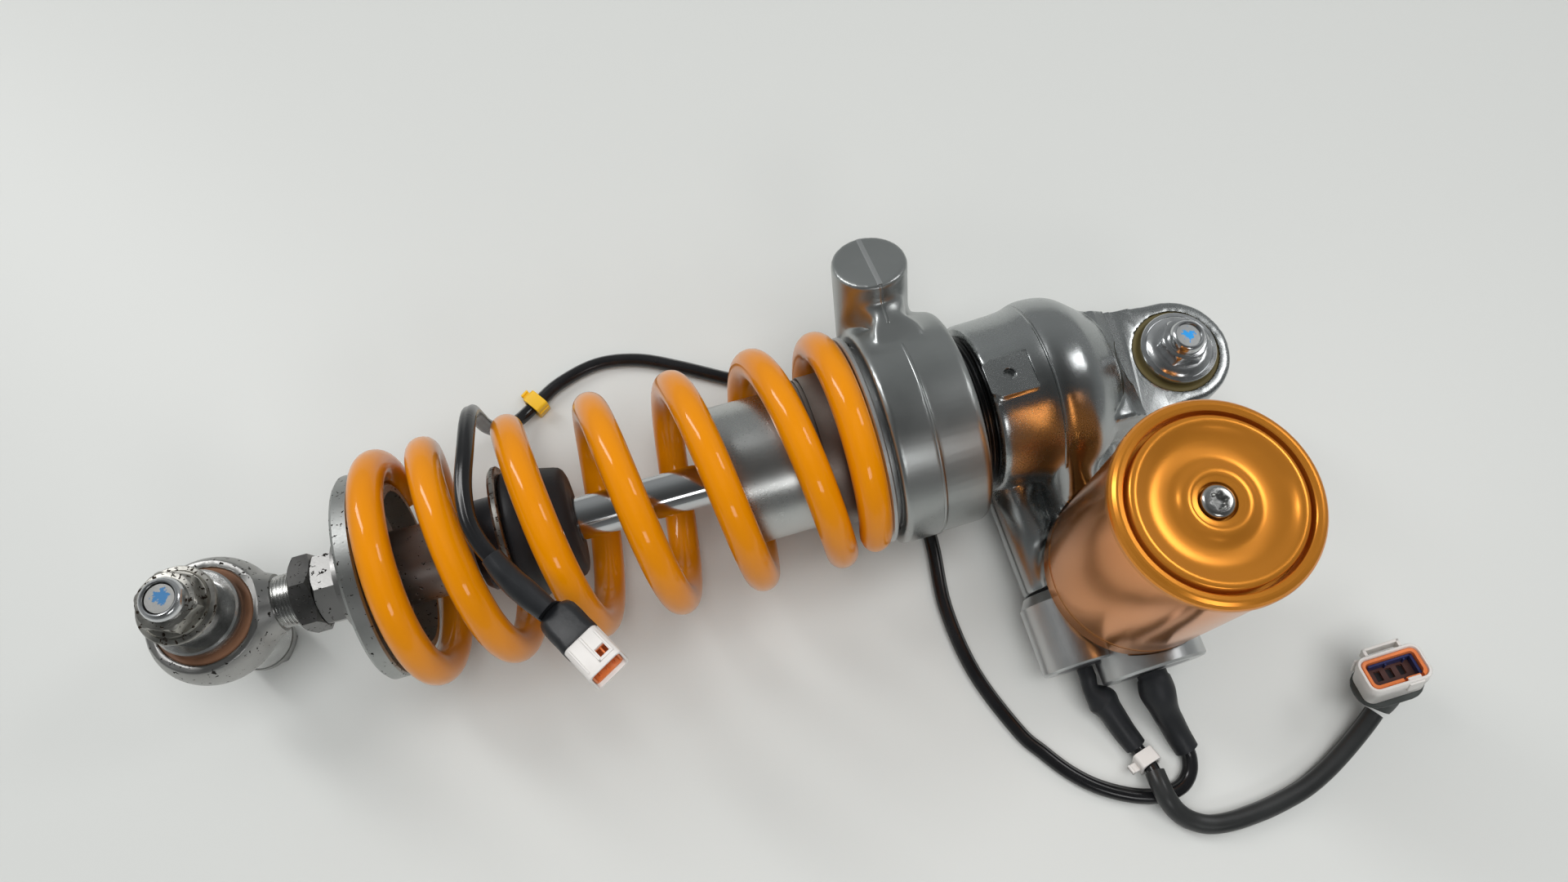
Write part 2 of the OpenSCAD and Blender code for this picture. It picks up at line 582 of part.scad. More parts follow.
// Half thickness of the neck against the distance before the upper eye's centre
neck_flare = [[30, 16.4], [23.5, 15], [20.5, 13], [17.5, 11.2], [14.5, upper_eye_w / 2]];
module neck() intersection() {
    translate([0, 0, -20]) linear_extrude(40) polygon([[upper_eye_x - 31.5, 17.8],
        [upper_eye_x + 1.2, upper_eye_y + upper_eye_r - 0.05],
        [upper_eye_x + 0.6, upper_eye_y - upper_eye_r + 0.05], [upper_eye_x - 31.5, -22]]);
    translate([upper_eye_x, 40, 0]) rotate([90, 0, 0]) linear_extrude(80)
        polygon(concat([for (p = neck_flare) [-p[0], p[1]]], [[2, upper_eye_w / 2],
        [2, -upper_eye_w / 2]], [for (i = [1:5]) [-neck_flare[5 - i][0], -neck_flare[5 - i][1]]]));
}
module head_solid() {
    along_x(head_x) turned(concat([[0, 0], [head_r - 1, 0], [head_r, 1], [head_r + 0.5, 15.4],
        [head_r + 0.7, 19.2], [head_r + 1, 19.9], [dome_r - 0.4, 21.2], [dome_r, 23]],
        [for (p = dome_curve) [dome_r * p[0], 26 + dome_len * p[1]]]));
    // Pad with the threaded hole, and a flat boss on the far side
    translate([head_x, 0, 20]) linear_extrude(pad_z - 20)
        polygon([[0, -5.8], [3, -7.8], [15.1, -7.8], [15.1, 5.2], [3, 5.2], [0, 3.6]]);
    translate([head_x + 0.6, 20, -6]) cube([15.8, head_r - 19.4, 11]);
    neck();
    translate(upper_eye) translate([0, 0, -upper_eye_w / 2]) cylinder(r = upper_eye_r, h = upper_eye_w);
    // Foot that the reservoir stands on, cut off where the valve block begins
    intersection() {
        translate([res_axis[0], res_axis[1], res_z - foot_t]) cylinder(r = foot_r, h = foot_t);
        translate([res_axis[0] - 60, block_y, res_z - 20]) cube([120, 60, 20]);
    }
    // Gusset from the collar down to the foot
    hull() {
        translate([crest_x - 4.6, -21, 12]) rotate([0, 10, 0]) cylinder(r = 3.4, h = 6, $fn = 24);
        translate([crest_x - 4, -27, -4]) cylinder(r = 4.6, h = 4, $fn = 24);
        translate([res_axis[0] - 8, res_axis[1] + 23.5, res_z - foot_t])
            cylinder(r = 8, h = foot_t - 0.4, $fn = 24);
        translate([crest_x + 2, -19, -18]) cylinder(r = 7, h = 12, $fn = 24);
    }
    along_minus_y(small_lobe_x, 0, lobe_z) cylinder(r = arm_r, h = -block_y);
    along_minus_y(res_axis[0], 0, lobe_z) cylinder(r = big_lobe_r - 1, h = -block_y);
}
module head_casting() color([0.45, 0.47, 0.47]) difference() {
    head_solid();
    // Bore for the damper tube, and the chamber behind it
    along_x(head_x - cut) cylinder(r = thread_r + run, h = tube_engaged + cut);
    along_x(head_x) cylinder(r = inner_r, h = cavity_end_x - head_x);
    // Room for the reservoir
    translate([res_axis[0], res_axis[1], res_z - 0.01]) cylinder(r = res_r + gap, h = 60);
    // Spot faces round the upper eye
    for (side = [0, 1]) mirror([0, 0, side])
        translate([upper_eye_x, upper_eye_y, upper_eye_w / 2]) cylinder(r1 = 20, r2 = 22.5, h = 12);
    translate([upper_eye_x, upper_eye_y, -upper_eye_w]) cylinder(r = bearing_r, h = 2 * upper_eye_w);
    for (side = [0, 1]) mirror([0, 0, side]) translate([upper_eye_x, upper_eye_y, upper_eye_w / 2 - 1.8])
        cylinder(r = seal_pocket_r, h = 1.8 + cut);
    // Threaded hole in the pad
    translate([head_x - cut, -7.8, pad_z]) cube([15.1 + cut, 13, 4]);
    translate([pad_hole_x, -1.2, pad_z - pad_hole_depth]) cylinder(r = pad_hole_r, h = pad_hole_depth + cut);
    // Oilway up to the reservoir
    translate([res_axis[0], res_axis[1] + 14, res_z - foot_t + 3]) cylinder(r = 3, h = foot_t);
    // Bores for the inner ends of the valves
    along_minus_y(small_lobe_x, block_y + 12, lobe_z) cylinder(r = small_valve_r + run, h = 14);
    along_minus_y(res_axis[0], block_y + 12, lobe_z) cylinder(r = big_valve_r + run, h = 14);
}

// Upper eye fittings

module upper_bearing() color([0.4, 0.38, 0.34]) translate(upper_eye)
    translate([0, 0, -upper_eye_w / 2 + 1.8]) ring(bearing_r, upper_sleeve_r + run, upper_eye_w - 3.6);
module upper_eye_seals() color([0.33, 0.28, 0.12]) translate(upper_eye) for (side = [0, 1])
    mirror([0, 0, side]) translate([0, 0, upper_eye_w / 2 - 1.8])
        ring(seal_pocket_r, upper_sleeve_r + run, 1.8);
upper_sleeve_r = 8.5;
module upper_sleeve() color([0.7, 0.71, 0.72]) translate(upper_eye) difference() {
    shoulder_z = -upper_eye_w / 2 - gap;
    turned([[0, -head_seat_z], [11, -head_seat_z], [11.5, -head_seat_z + 0.5], [11.5, shoulder_z - 0.5],
        [11, shoulder_z], [upper_sleeve_r, shoulder_z], [upper_sleeve_r, upper_top], [0, upper_top]]);
    translate([0, 0, -head_seat_z - cut]) cylinder(r = bolt_r + run, h = head_seat_z + upper_top + 2 * cut);
}
module upper_bolt() color([0.72, 0.73, 0.74]) translate(upper_eye) mount_bolt(upper_top);
module upper_nut() color([0.8, 0.81, 0.82]) translate(upper_eye) mount_nut(upper_top, nut_flange_r + 1.2);

// Valve block with its two solenoid valves

small_valve_r = 7.4;
big_valve_r = 11.6;
module valve_block() color([0.68, 0.69, 0.69]) difference() {
    union() {
        along_minus_y(small_lobe_x, block_y, lobe_z) turned([[0, 0], [arm_r + 0.4, 0],
            [small_lobe_r, 3.4], [small_lobe_r, small_lobe_len - 0.6],
            [small_lobe_r - 0.6, small_lobe_len], [0, small_lobe_len]]);
        along_minus_y(res_axis[0], block_y, lobe_z) turned([[0, 0], [big_lobe_r, 0],
            [big_lobe_r, big_lobe_len - 0.8], [big_lobe_r - 0.8, big_lobe_len], [0, big_lobe_len]]);
        // Web between the two housings
        translate([small_lobe_x, block_y - small_lobe_len + 1.5, lobe_z - 8])
            cube([res_axis[0] - small_lobe_x, small_lobe_len - 1.5, 16]);
        // Saddle under the reservoir
        intersection() {
            translate([res_axis[0], res_axis[1], res_z - 9]) cylinder(r = 24, h = 8.8);
            translate([res_axis[0] - 60, block_y - 60, res_z - 20]) cube([120, 60, 20]);
        }
    }
    // Pocket that the reservoir stands in
    on_reservoir(res_z - 0.01) cylinder(r = res_r + gap, h = 60);
    along_minus_y(small_lobe_x, block_y + cut, lobe_z)
        cylinder(r = small_valve_r + run, h = small_lobe_len + 2 * cut);
    along_minus_y(res_axis[0], block_y + cut, lobe_z)
        cylinder(r = big_valve_r + run, h = big_lobe_len + 2 * cut);
}

// A solenoid valve: its can at the outer end, a groove for its seal, and a nose
module solenoid_valve(r, length) turned([[0, 0], [r - 3, 0], [r - 3, 5], [r, 7], [r, 9],
    [r - 1.5, 9], [r - 1.5, 11], [r, 11], [r, length], [0, length]]);
module rebound_valve() color([0.2, 0.2, 0.22])
    along_minus_y(small_lobe_x, block_y + 11, lobe_z) solenoid_valve(small_valve_r, small_lobe_len + 11);
module compression_valve() color([0.2, 0.2, 0.22])
    along_minus_y(res_axis[0], block_y + 11, lobe_z) solenoid_valve(big_valve_r, big_lobe_len + 11);
module valve_o_rings() color([0.05, 0.05, 0.05]) {
    along_minus_y(small_lobe_x, block_y + 2, lobe_z) ring(small_valve_r, small_valve_r - 1.5, 2);
    along_minus_y(res_axis[0], block_y + 2, lobe_z) ring(big_valve_r, big_valve_r - 1.5, 2);
}

// Reservoir, standing on the foot and the saddle

module on_reservoir(z) translate([res_axis[0], res_axis[1], z]) children();
module reservoir_body() color([0.72, 0.4, 0.2]) on_reservoir(res_z) difference() {
    turned([[0, 0], [res_r - 1, 0], [res_r, 1], [res_r, 8], [res_r - 0.25, 8.2], [res_r - 0.25, 8.6],
        [res_r, 8.8], [res_r, res_h], [0, res_h]]);
    translate([0, 0, 4]) cylinder(r = res_bore_r, h = res_h);
    translate([0, 14, -cut]) cylinder(r = 3, h = 6);
}
rim_z = res_top;
rim_bore_r = res_bore_r + 0.2;
module reservoir_rim() color([0.82, 0.5, 0.08]) on_reservoir(rim_z) difference() {
    turned([[0, 0], [rim_r - 0.4, 0], [rim_r, 0.4], [rim_r, rim_h - 2.4], [rim_r - 0.25, rim_h - 1.5],
        [rim_r - 0.9, rim_h - 0.6], [rim_r - 1.8, rim_h - 0.1], [rim_r - 2.4, rim_h],
        [rim_bore_r + 0.3, rim_h - 0.3], [rim_bore_r, rim_h - 0.6], [0, rim_h - 0.6]]);
    translate([0, 0, -cut]) cylinder(r = rim_bore_r, h = rim_h + 2 * cut);
}
cap_r = rim_bore_r - 1.2;
// The cap's face: an outer bead, a dish, and an inner bead round the screw
module reservoir_cap() color([0.85, 0.52, 0.08]) on_reservoir(rim_z) difference() {
    turned([[0, -5], [res_bore_r - run, -5], [res_bore_r - run, -1.6], [cap_r, -1.6], [cap_r, rim_h - 1.2],
        [cap_r - 0.3, rim_h - 0.5], [cap_r - 1.3, rim_h - 0.1], [cap_r - 2.6, rim_h],
        [cap_r - 3.8, rim_h - 0.3], [cap_r - 5.4, rim_h - 1.2], [cap_r - 7.6, rim_h - 2.1],
        [cap_r - 10, rim_h - 2.5], [cap_r - 11.8, rim_h - 2.2], [cap_r - 13, rim_h - 1.5],
        [cap_r - 14.1, rim_h - 1.2], [cap_r - 15.2, rim_h - 1.5], [cap_r - 16.2, rim_h - 2.2],
        [0, rim_h - 2.2]]);
    translate([0, 0, rim_h - 4.2]) cylinder(r = 5.3, h = rim_h);
    translate([0, 0, -6]) cylinder(r = 2.55, h = rim_h + 6);
    translate([0, 0, -4.4]) ring(res_bore_r + cut, res_bore_r - 1.6, 2.2);
}
module cap_o_ring() color([0.04, 0.03, 0.03]) on_reservoir(rim_z - 4.3)
    ring(res_bore_r - run, res_bore_r - 1.5, 2);
module fill_screw() color([0.62, 0.62, 0.62]) on_reservoir(rim_z) difference() {
    union() {
        translate([0, 0, -4]) cylinder(r = 2.5, h = rim_h);
        translate([0, 0, rim_h - 4.1]) turned([[0, 0], [4.7, 0], [4.7, 3], [4, 3.6], [0, 3.6]]);
    }
    translate([0, 0, rim_h - 1.9]) cylinder(r = 2, h = 3, $fn = 6);
}
piston_z = 14;
float_h = 14;
module floating_piston() color([0.65, 0.65, 0.66]) on_reservoir(piston_z) difference() {
    cylinder(r = res_bore_r - 0.25, h = float_h);
    translate([0, 0, 4]) cylinder(r = res_bore_r - 4.5, h = float_h);
    translate([0, 0, 5]) ring(res_bore_r + cut, res_bore_r - 2.2, 3);
}
module floating_piston_ring() color([0.05, 0.05, 0.05]) on_reservoir(piston_z + 5.1)
    ring(res_bore_r - run, res_bore_r - 2.1, 2.8);

// Leads. Their routes are chosen by hand and stay as chosen.

boot_a_route = [[281, -95.8, -26], [281, -98, -26], [281.3, -102, -28], [282.3, -107.3, -31.4],
    [283.8, -112, -34.4], [285.4, -117, -36.8], [286.8, -122, -38.2]];
boot_a_radii = [4.9, 5.4, 5.9, 4.8, 4.4, 4.2, 4];
boot_b_route = [[261.9, -87.8, -31.1], [261.9, -91, -31.1], [261.9, -95, -32.4], [264.5, -99.2, -34.2],
    [266, -103, -35], [268.6, -110, -37.4], [271, -116.2, -38.7]];
boot_b_radii = [2.7, 2.8, 2.8, 5.2, 4.3, 4, 3.7];
lead_a_route = [[286.3, -120.4, -37.8], [287.1, -124, -39.2], [285.8, -128.6, -40.1],
    [282.3, -132, -40.4], [277.4, -133.3, -40.4], [271.4, -132.9, -40.4], [265, -130.8, -40.4],
    [258.2, -127.2, -40.4], [252.2, -122.8, -40.4], [246.4, -116.8, -40.4], [241, -109.2, -40.4],
    [235.6, -100.4, -40.4], [228, -78, -40.4],
    [226, -54, -40.4], [229, -31, -40.4], [229, -12, -40.4], [221, 7, -40.4], [208, 25, -40.4],
    [192, 41, -40.4], [175, 51, -40.4], [160, 60, -40.4], [146, 67, -40.4], [131, 69.5, -40.4],
    [116, 65.5, -39.8], [106, 59.5, -39.2], [98, 53.5, -36], [92.5, 48.5, -26],
    [91, 45, -13], [91.2, 42, 2], [92, 38, 17], [92.5, 29.5, 30], [91.5, 17, 38.5],
    [89.5, 5, 42], [89.2, -5, 43], [91, -12.4, 42.8], [94, -18.8, 42]];
boot_c_route = [[93.2, -17, 42.2], [96, -23, 41.5], [100.2, -29.6, 40.5], [104.4, -35.6, 39.4],
    [107.4, -40, 38.6]];
boot_c_radii = [3.2, 3.9, 4.2, 4.4, 4.8];
lead_b_route = [[269.9, -114.2, -38.6], [271.4, -118.2, -38.4], [272.4, -121.6, -37.2],
    [272.8, -127.2, -35]];
sheath_route = [[272.7, -125.8, -35.6], [272.5, -130, -34.4], [273, -134.4, -34.5],
    [275.2, -139, -36.7], [279.2, -143, -38.8], [284.8, -146, -39.5], [291.9, -147.2, -39.5],
    [299.6, -147.2, -39.5], [307.8, -146.6, -39.5], [319, -144.7, -39.5], [328.2, -141.6, -39.4],
    [335.8, -138, -38.8], [342.4, -134.2, -37.6], [347.4, -131, -36.4], [350.6, -128.6, -35.2]];
module route_tube(route, radii, sides, steps) {
    n = len(route) - 1;
    rounded_radii = is_num(radii) ? radii : rounded(radii, steps);
    tube_along(rounded(route, steps), rounded_radii, sides, [0.1, 0.2, 1]);
}
// A boot leaves its valve squarely, so its first stretch is straight
module boot_tube(route, radii) tube_along(concat([route[0]], rounded([for (i = [1:6]) route[i]], 2)),
    concat([radii[0]], rounded([for (i = [1:6]) radii[i]], 2)), 12, [0.1, 0.2, 1]);
module lead_a_boot() color([0.1, 0.1, 0.11]) boot_tube(boot_a_route, boot_a_radii);
module lead_b_boot() color([0.1, 0.1, 0.11]) boot_tube(boot_b_route, boot_b_radii);
module lead_a() color([0.05, 0.05, 0.05]) route_tube(lead_a_route, lead_a_r, 10, 2);
module lead_b() color([0.05, 0.05, 0.05]) route_tube(lead_b_route, lead_b_r, 10, 2);
module lead_b_sheath() color([0.12, 0.12, 0.13]) route_tube(sheath_route, sheath_r, 12, 2);
a_back = [110.4, -44.4, 38];
a_turn = -61;
a_lift = 15.5;
module connector_a_boot() color([0.09, 0.09, 0.1]) {
    route_tube(boot_c_route, boot_c_radii, 12, 2);
    connector_a_frame() translate([0, 0, -8.5]) linear_extrude(8.2) offset(3.4)
        square([a_size[0] - 5.6, a_size[1] - 5.6], center = true);
}

// A clip round a lead: a band with a small tail
module band_clip(r) difference() {
    union() {
        translate([-2.5, -r - 0.9, -r - 0.8]) cube([5, 2 * r + 1.8, 2 * r + 1.6]);
        translate([-1.5, r + 0.8, -1.2]) cube([3, 3, 1.2]);
    }
    rotate([0, 90, 0]) translate([0, 0, -4]) cylinder(r = r, h = 8);
}
module lead_a_clip() color([0.95, 0.68, 0.05]) translate([106.2, 59.6, -39.2]) rotate([0, 0, 34])
    band_clip(lead_a_r + 0.5);
module lead_b_clip() color([0.9, 0.9, 0.88]) translate([272.3, -121.4, -37.3]) rotate([0, 0, -76])
    rotate([0, -20, 0]) mirror([0, 1, 0]) band_clip(lead_b_r + 0.4);

// Connector housings, each drawn along Z with its mouth at the top
module socket_shell(w, d, h, wall, floor_t) difference() {
    linear_extrude(h) offset(2) square([w - 4, d - 4], center = true);
    translate([0, 0, floor_t]) linear_extrude(h) offset(1.2)
        square([w - 2 * wall - 2.4, d - 2 * wall - 2.4], center = true);
}
a_size = [11.4, 9, 14.6];
module connector_a_frame() translate(a_back) rotate([0, 0, a_turn]) rotate([0, 90 - a_lift, 0])
    rotate(90) children();
module connector_a() color([0.92, 0.92, 0.9]) connector_a_frame() difference() {
    socket_shell(a_size[0], a_size[1], a_size[2], 1.1, 5);
    translate([-1.8, 2, 9]) cube([3.6, 6, 3]);
}
b_size = [20.6, 12.4, 12];
b_lean = 17.5;
b_roll = 10;
b_face = [351.5, -116.8, -13];
module connector_b_frame() translate(b_face) rotate([-b_lean, -b_roll, 0]) children();
module connector_b() color([0.9, 0.89, 0.87]) connector_b_frame() translate([0, 0, -b_size[2]]) {
    socket_shell(b_size[0], b_size[1], b_size[2], 1.2, 5);
    // Latch bridge on the upper long side
    difference() {
        translate([-6, b_size[1] / 2 - 0.6, b_size[2] - 6]) cube([12, 3.6, 6]);
        translate([-4.6, b_size[1] / 2 - 0.2, b_size[2] - 7]) cube([9.2, 2, 8]);
    }
}
neck_route = [[353.8, -121, -27.2], [354.3, -122.4, -30.4], [353.6, -125.2, -33.4],
    [351, -128.2, -35], [348.4, -130.3, -36.1]];
module connector_b_boot() color([0.3, 0.31, 0.3]) {
    connector_b_frame() translate([0, 0, -b_size[2] - 2.9]) linear_extrude(2.6) offset(6.6)
        square([9.4, 1.4], center = true);
    route_tube(neck_route, [5.9, 5.9, 5.9, 5.6, 5.2], 12, 2);
}
module connector_seals() color([0.95, 0.42, 0.12]) {
    connector_a_frame() translate([0, 0, 5]) linear_extrude(6) difference() {
        offset(1) square([a_size[0] - 4.6, a_size[1] - 4.6], center = true);
        square([a_size[0] - 5.4, a_size[1] - 5.4], center = true);
    }
    connector_b_frame() translate([0, 0, -b_size[2] + 5]) linear_extrude(6.6) difference() {
        offset(1) square([b_size[0] - 4.6, b_size[1] - 4.6], center = true);
        square([b_size[0] - 6, b_size[1] - 6], center = true);
    }
}

lower_eye();
lower_bearing_race();
lower_eye_seals();
lower_bearing_ball();
lower_sleeves();
lower_bolt();
lower_nut();
lower_lock_nut();
rod_end();
lower_spring_seat();
rod_collar();
bump_plate();
bump_rubber();
piston_rod();
damper_piston();
piston_band();
piston_shims();
piston_nut();
damper_tube();
inner_tube();
seal_head();
seal_head_o_ring();
rod_bush();
rod_seal();
rod_wiper();
retaining_ring();
topout_ring();
coil_spring();
upper_spring_seat();
preload_o_rings();
preload_ring();
head_casting();
upper_bearing();
upper_eye_seals();
upper_sleeve();
upper_bolt();
upper_nut();
valve_block();
compression_valve();
rebound_valve();
valve_o_rings();
reservoir_body();
reservoir_rim();
reservoir_cap();
cap_o_ring();
fill_screw();
floating_piston();
floating_piston_ring();
lead_a_boot();
lead_b_boot();
lead_a();
lead_a_clip();
connector_a_boot();
connector_a();
lead_b();
lead_b_clip();
lead_b_sheath();
connector_b_boot();
connector_b();
connector_seals();
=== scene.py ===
"""Looks of the motorcycle rear shock absorber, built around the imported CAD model.

Sizes in this file are written in millimetres in the CAD frame and turned into metres by M.
"""
import json
import math

import bpy
import numpy as np
from mathutils import Matrix, Vector

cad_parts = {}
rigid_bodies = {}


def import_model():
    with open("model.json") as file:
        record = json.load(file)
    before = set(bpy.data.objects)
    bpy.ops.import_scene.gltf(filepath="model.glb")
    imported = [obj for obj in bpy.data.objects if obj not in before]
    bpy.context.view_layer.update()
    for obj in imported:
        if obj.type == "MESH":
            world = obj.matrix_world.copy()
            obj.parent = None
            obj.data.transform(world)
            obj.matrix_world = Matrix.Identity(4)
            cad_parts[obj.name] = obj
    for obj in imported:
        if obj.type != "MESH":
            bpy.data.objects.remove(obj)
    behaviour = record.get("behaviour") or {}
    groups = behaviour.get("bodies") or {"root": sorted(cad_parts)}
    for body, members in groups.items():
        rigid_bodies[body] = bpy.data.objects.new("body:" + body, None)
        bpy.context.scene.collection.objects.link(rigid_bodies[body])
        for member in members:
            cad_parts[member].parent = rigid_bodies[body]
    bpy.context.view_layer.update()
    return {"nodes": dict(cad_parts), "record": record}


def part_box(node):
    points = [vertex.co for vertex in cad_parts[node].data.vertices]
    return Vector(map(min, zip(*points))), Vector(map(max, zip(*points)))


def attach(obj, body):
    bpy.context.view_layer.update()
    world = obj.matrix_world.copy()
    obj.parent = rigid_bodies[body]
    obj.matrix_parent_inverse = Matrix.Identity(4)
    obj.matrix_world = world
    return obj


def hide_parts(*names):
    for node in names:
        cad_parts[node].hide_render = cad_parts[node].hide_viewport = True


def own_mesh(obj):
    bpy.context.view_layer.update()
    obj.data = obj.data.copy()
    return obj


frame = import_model()
NODES = frame["nodes"]
SCENE = bpy.context.scene
M = 0.001
FLOOR_Z = -43.0

# Camera, lights and world

CAMERA_PLACE = (147.94, -110.03, 346.47)
CAMERA_RIGHT = (0.95876, -0.28414, 0.00723)
CAMERA_UP = (0.26553, 0.90446, 0.33384)
CAMERA_AHEAD = (0.10139, 0.31815, -0.94260)
# Focal length and width of the 1920 by 1080 frame in its pixels, the sensor's width in millimetres
FOCAL_LENGTH, FRAME_WIDTH, SENSOR_WIDTH = 1374.085, 1920, 36


def make_camera():
    data = bpy.data.cameras.new("camera")
    data.sensor_width = SENSOR_WIDTH
    data.lens = FOCAL_LENGTH * SENSOR_WIDTH / FRAME_WIDTH
    data.clip_start, data.clip_end = 0.01, 50
    cam = bpy.data.objects.new("camera", data)
    SCENE.collection.objects.link(cam)
    axes = Matrix([CAMERA_RIGHT, CAMERA_UP, [-a for a in CAMERA_AHEAD]]).transposed()
    cam.matrix_world = Matrix.Translation(Vector(CAMERA_PLACE) * M) @ axes.to_4x4()
    SCENE.camera = cam


def area_light(name, place, target, size, watts, mirrored=True):
    data = bpy.data.lights.new(name, "AREA")
    data.shape = "RECTANGLE"
    data.size, data.size_y = size
    data.energy = watts
    lamp = bpy.data.objects.new(name, data)
    SCENE.collection.objects.link(lamp)
    lamp.visible_glossy = mirrored
    lamp.location = place
    lamp.rotation_mode = "QUATERNION"
    lamp.rotation_quaternion = (Vector(target) - Vector(place)).to_track_quat("-Z", "Y")


def make_world():
    """A plain grey room, darker over the side where the viewer stands."""
    world = bpy.data.worlds.new("world")
    SCENE.world = world
    world.use_nodes = True
    nt = world.node_tree
    nt.nodes.clear()
    out = nt.nodes.new("ShaderNodeOutputWorld")
    room = nt.nodes.new("ShaderNodeBackground")
    coords = nt.nodes.new("ShaderNodeTexCoord")
    along = nt.nodes.new("ShaderNodeVectorMath")
    along.operation = "DOT_PRODUCT"
    along.inputs[1].default_value = (0, -0.5, 0.866)
    ramp = nt.nodes.new("ShaderNodeValToRGB")
    nt.links.new(coords.outputs["Generated"], along.inputs[0])
    nt.links.new(along.outputs["Value"], ramp.inputs[0])
    stops = ramp.color_ramp.elements
    stops[0].position, stops[0].color = 0.0, (0.33, 0.34, 0.34, 1)
    stops[1].position, stops[1].color = 1.0, (0.06, 0.062, 0.062, 1)
    stops.new(0.4).color = (0.25, 0.26, 0.26, 1)
    stops.new(0.7).color = (0.14, 0.145, 0.145, 1)
    nt.links.new(ramp.outputs[0], room.inputs[0])
    nt.links.new(room.outputs[0], out.inputs[0])


make_camera()
make_world()
MIDDLE = (0.17, -0.03, 0)
area_light("key", (-0.5, 0.8, 1.0), MIDDLE, (0.24, 0.85), 6)
area_light("side", (0.85, 0.1, 0.75), MIDDLE, (0.25, 0.25), 1.0)
area_light("fill", (0.25, -0.8, 0.7), MIDDLE, (0.35, 0.2), 1.0)
area_light("soft", (0.2, -0.25, 1.5), MIDDLE, (1.2, 1.0), 16, mirrored=False)


# Materials

MATS = {}


class Shader:
    """A Principled material, kept in MATS by name, and short names for the nodes that feed it."""

    def __init__(self, name, colour, metallic=0.0, rough=0.5, **sockets):
        MATS[name] = self
        self.mat = bpy.data.materials.new(name)
        self.mat.use_nodes = True
        self.nt = self.mat.node_tree
        self.bsdf = self.nt.nodes["Principled BSDF"]
        self.coords = self.nt.nodes.new("ShaderNodeTexCoord")
        self.set("Base Color", colour)
        self.set("Metallic", metallic)
        self.set("Roughness", rough)
        for key, value in sockets.items():
            self.set(key.replace("_", " ").title().replace("Ior", "IOR"), value)

    def set(self, socket, value):
        if isinstance(value, tuple) and len(value) == 3:
            value = (*value, 1)
        self.bsdf.inputs[socket].default_value = value

    def node(self, kind, inputs=None, **settings):
        made = self.nt.nodes.new(kind)
        for key, value in settings.items():
            setattr(made, key, value)
        for key, value in (inputs or {}).items():
            self.feed(made, key, value)
        return made

    def noise(self, scale, detail, rough=0.55, stretch=(1, 1, 1)):
        place = self.node("ShaderNodeMapping", {"Vector": self.coords.outputs["Object"], "Scale": stretch})
        return self.node("ShaderNodeTexNoise", {"Vector": place.outputs[0], "Scale": scale,
                                                "Detail": detail, "Roughness": rough}).outputs["Fac"]

    def ramp(self, value, low, high, start=0.0, end=1.0):
        return self.node("ShaderNodeMapRange", {"Value": value, "From Min": low, "From Max": high,
                                                "To Min": start, "To Max": end}).outputs[0]

    def maths(self, operation, a, b):
        return self.node("ShaderNodeMath", {0: a, 1: b}, operation=operation).outputs[0]

    def mix(self, factor, a, b):
        made = self.node("ShaderNodeMix", data_type="RGBA")
        self.feed(made, "Factor", factor)
        for key, value in (("A", a), ("B", b)):
            socket = [s for s in made.inputs if s.name == key and s.type == "RGBA"][0]
            if isinstance(value, tuple):
                socket.default_value = (*value[:3], 1)
            else:
                self.nt.links.new(value, socket)
        return [s for s in made.outputs if s.type == "RGBA"][0]

    def feed(self, made, key, value):
        if isinstance(value, bpy.types.NodeSocket):
            self.nt.links.new(value, made.inputs[key])
        else:
            made.inputs[key].default_value = value

    def feeding(self, socket):
        """What is linked to one of the material's sockets."""
        return self.bsdf.inputs[socket].links[0].from_socket

    def link(self, socket, value):
        self.nt.links.new(value, self.bsdf.inputs[socket])

    def bump(self, height, distance):
        made = self.node("ShaderNodeBump", {"Height": height, "Distance": distance * M, "Strength": 1.0})
        last = self.bsdf.inputs["Normal"]
        if last.links:
            self.nt.links.new(last.links[0].from_socket, made.inputs["Normal"])
        self.nt.links.new(made.outputs[0], last)


def shades(colour, tint):
    """A darker and a lighter shade of a colour."""
    return tuple(c * (1 - tint) for c in colour), tuple(min(1, c * (1 + tint)) for c in colour)


def metal(name, colour, rough, spread=0.08, grain=0.02, grain_scale=1500, tint=0.12, blotch=35,
          stretch=(1, 1, 1), speckle=0.03):
    """A metal whose gloss and tone vary in soft patches over a fine grain."""
    s = Shader(name, colour, 1.0, rough)
    patch = s.noise(blotch, 4)
    fine = s.noise(grain_scale, 2, stretch=stretch)
    s.link("Base Color", s.mix(s.ramp(patch, 0.35, 0.65), *shades(colour, tint)))
    low, high = max(0.02, rough - spread), min(1, rough + spread)
    s.link("Roughness", s.maths("ADD", s.ramp(patch, 0.3, 0.7, low, high),
                                s.ramp(fine, 0.3, 0.7, -speckle, speckle)))
    if grain:
        s.bump(fine, grain)
    return s


PIT_DEPTH, PIT_ROUGHNESS = 0.15, 0.8


def pitted(s, scale, amount, colour):
    """Adds small dark pits to a metal."""
    pit = s.ramp(s.noise(scale, 2, 0.6), amount, amount + 0.04)
    s.link("Base Color", s.mix(pit, s.feeding("Base Color"), colour))
    keep = s.maths("MULTIPLY", s.feeding("Roughness"), s.ramp(pit, 0, 1, 1, 0))
    s.link("Roughness", s.maths("ADD", keep, s.ramp(pit, 0, 1, 0, PIT_ROUGHNESS)))
    s.bump(s.ramp(pit, 0, 1, 1, 0), PIT_DEPTH)


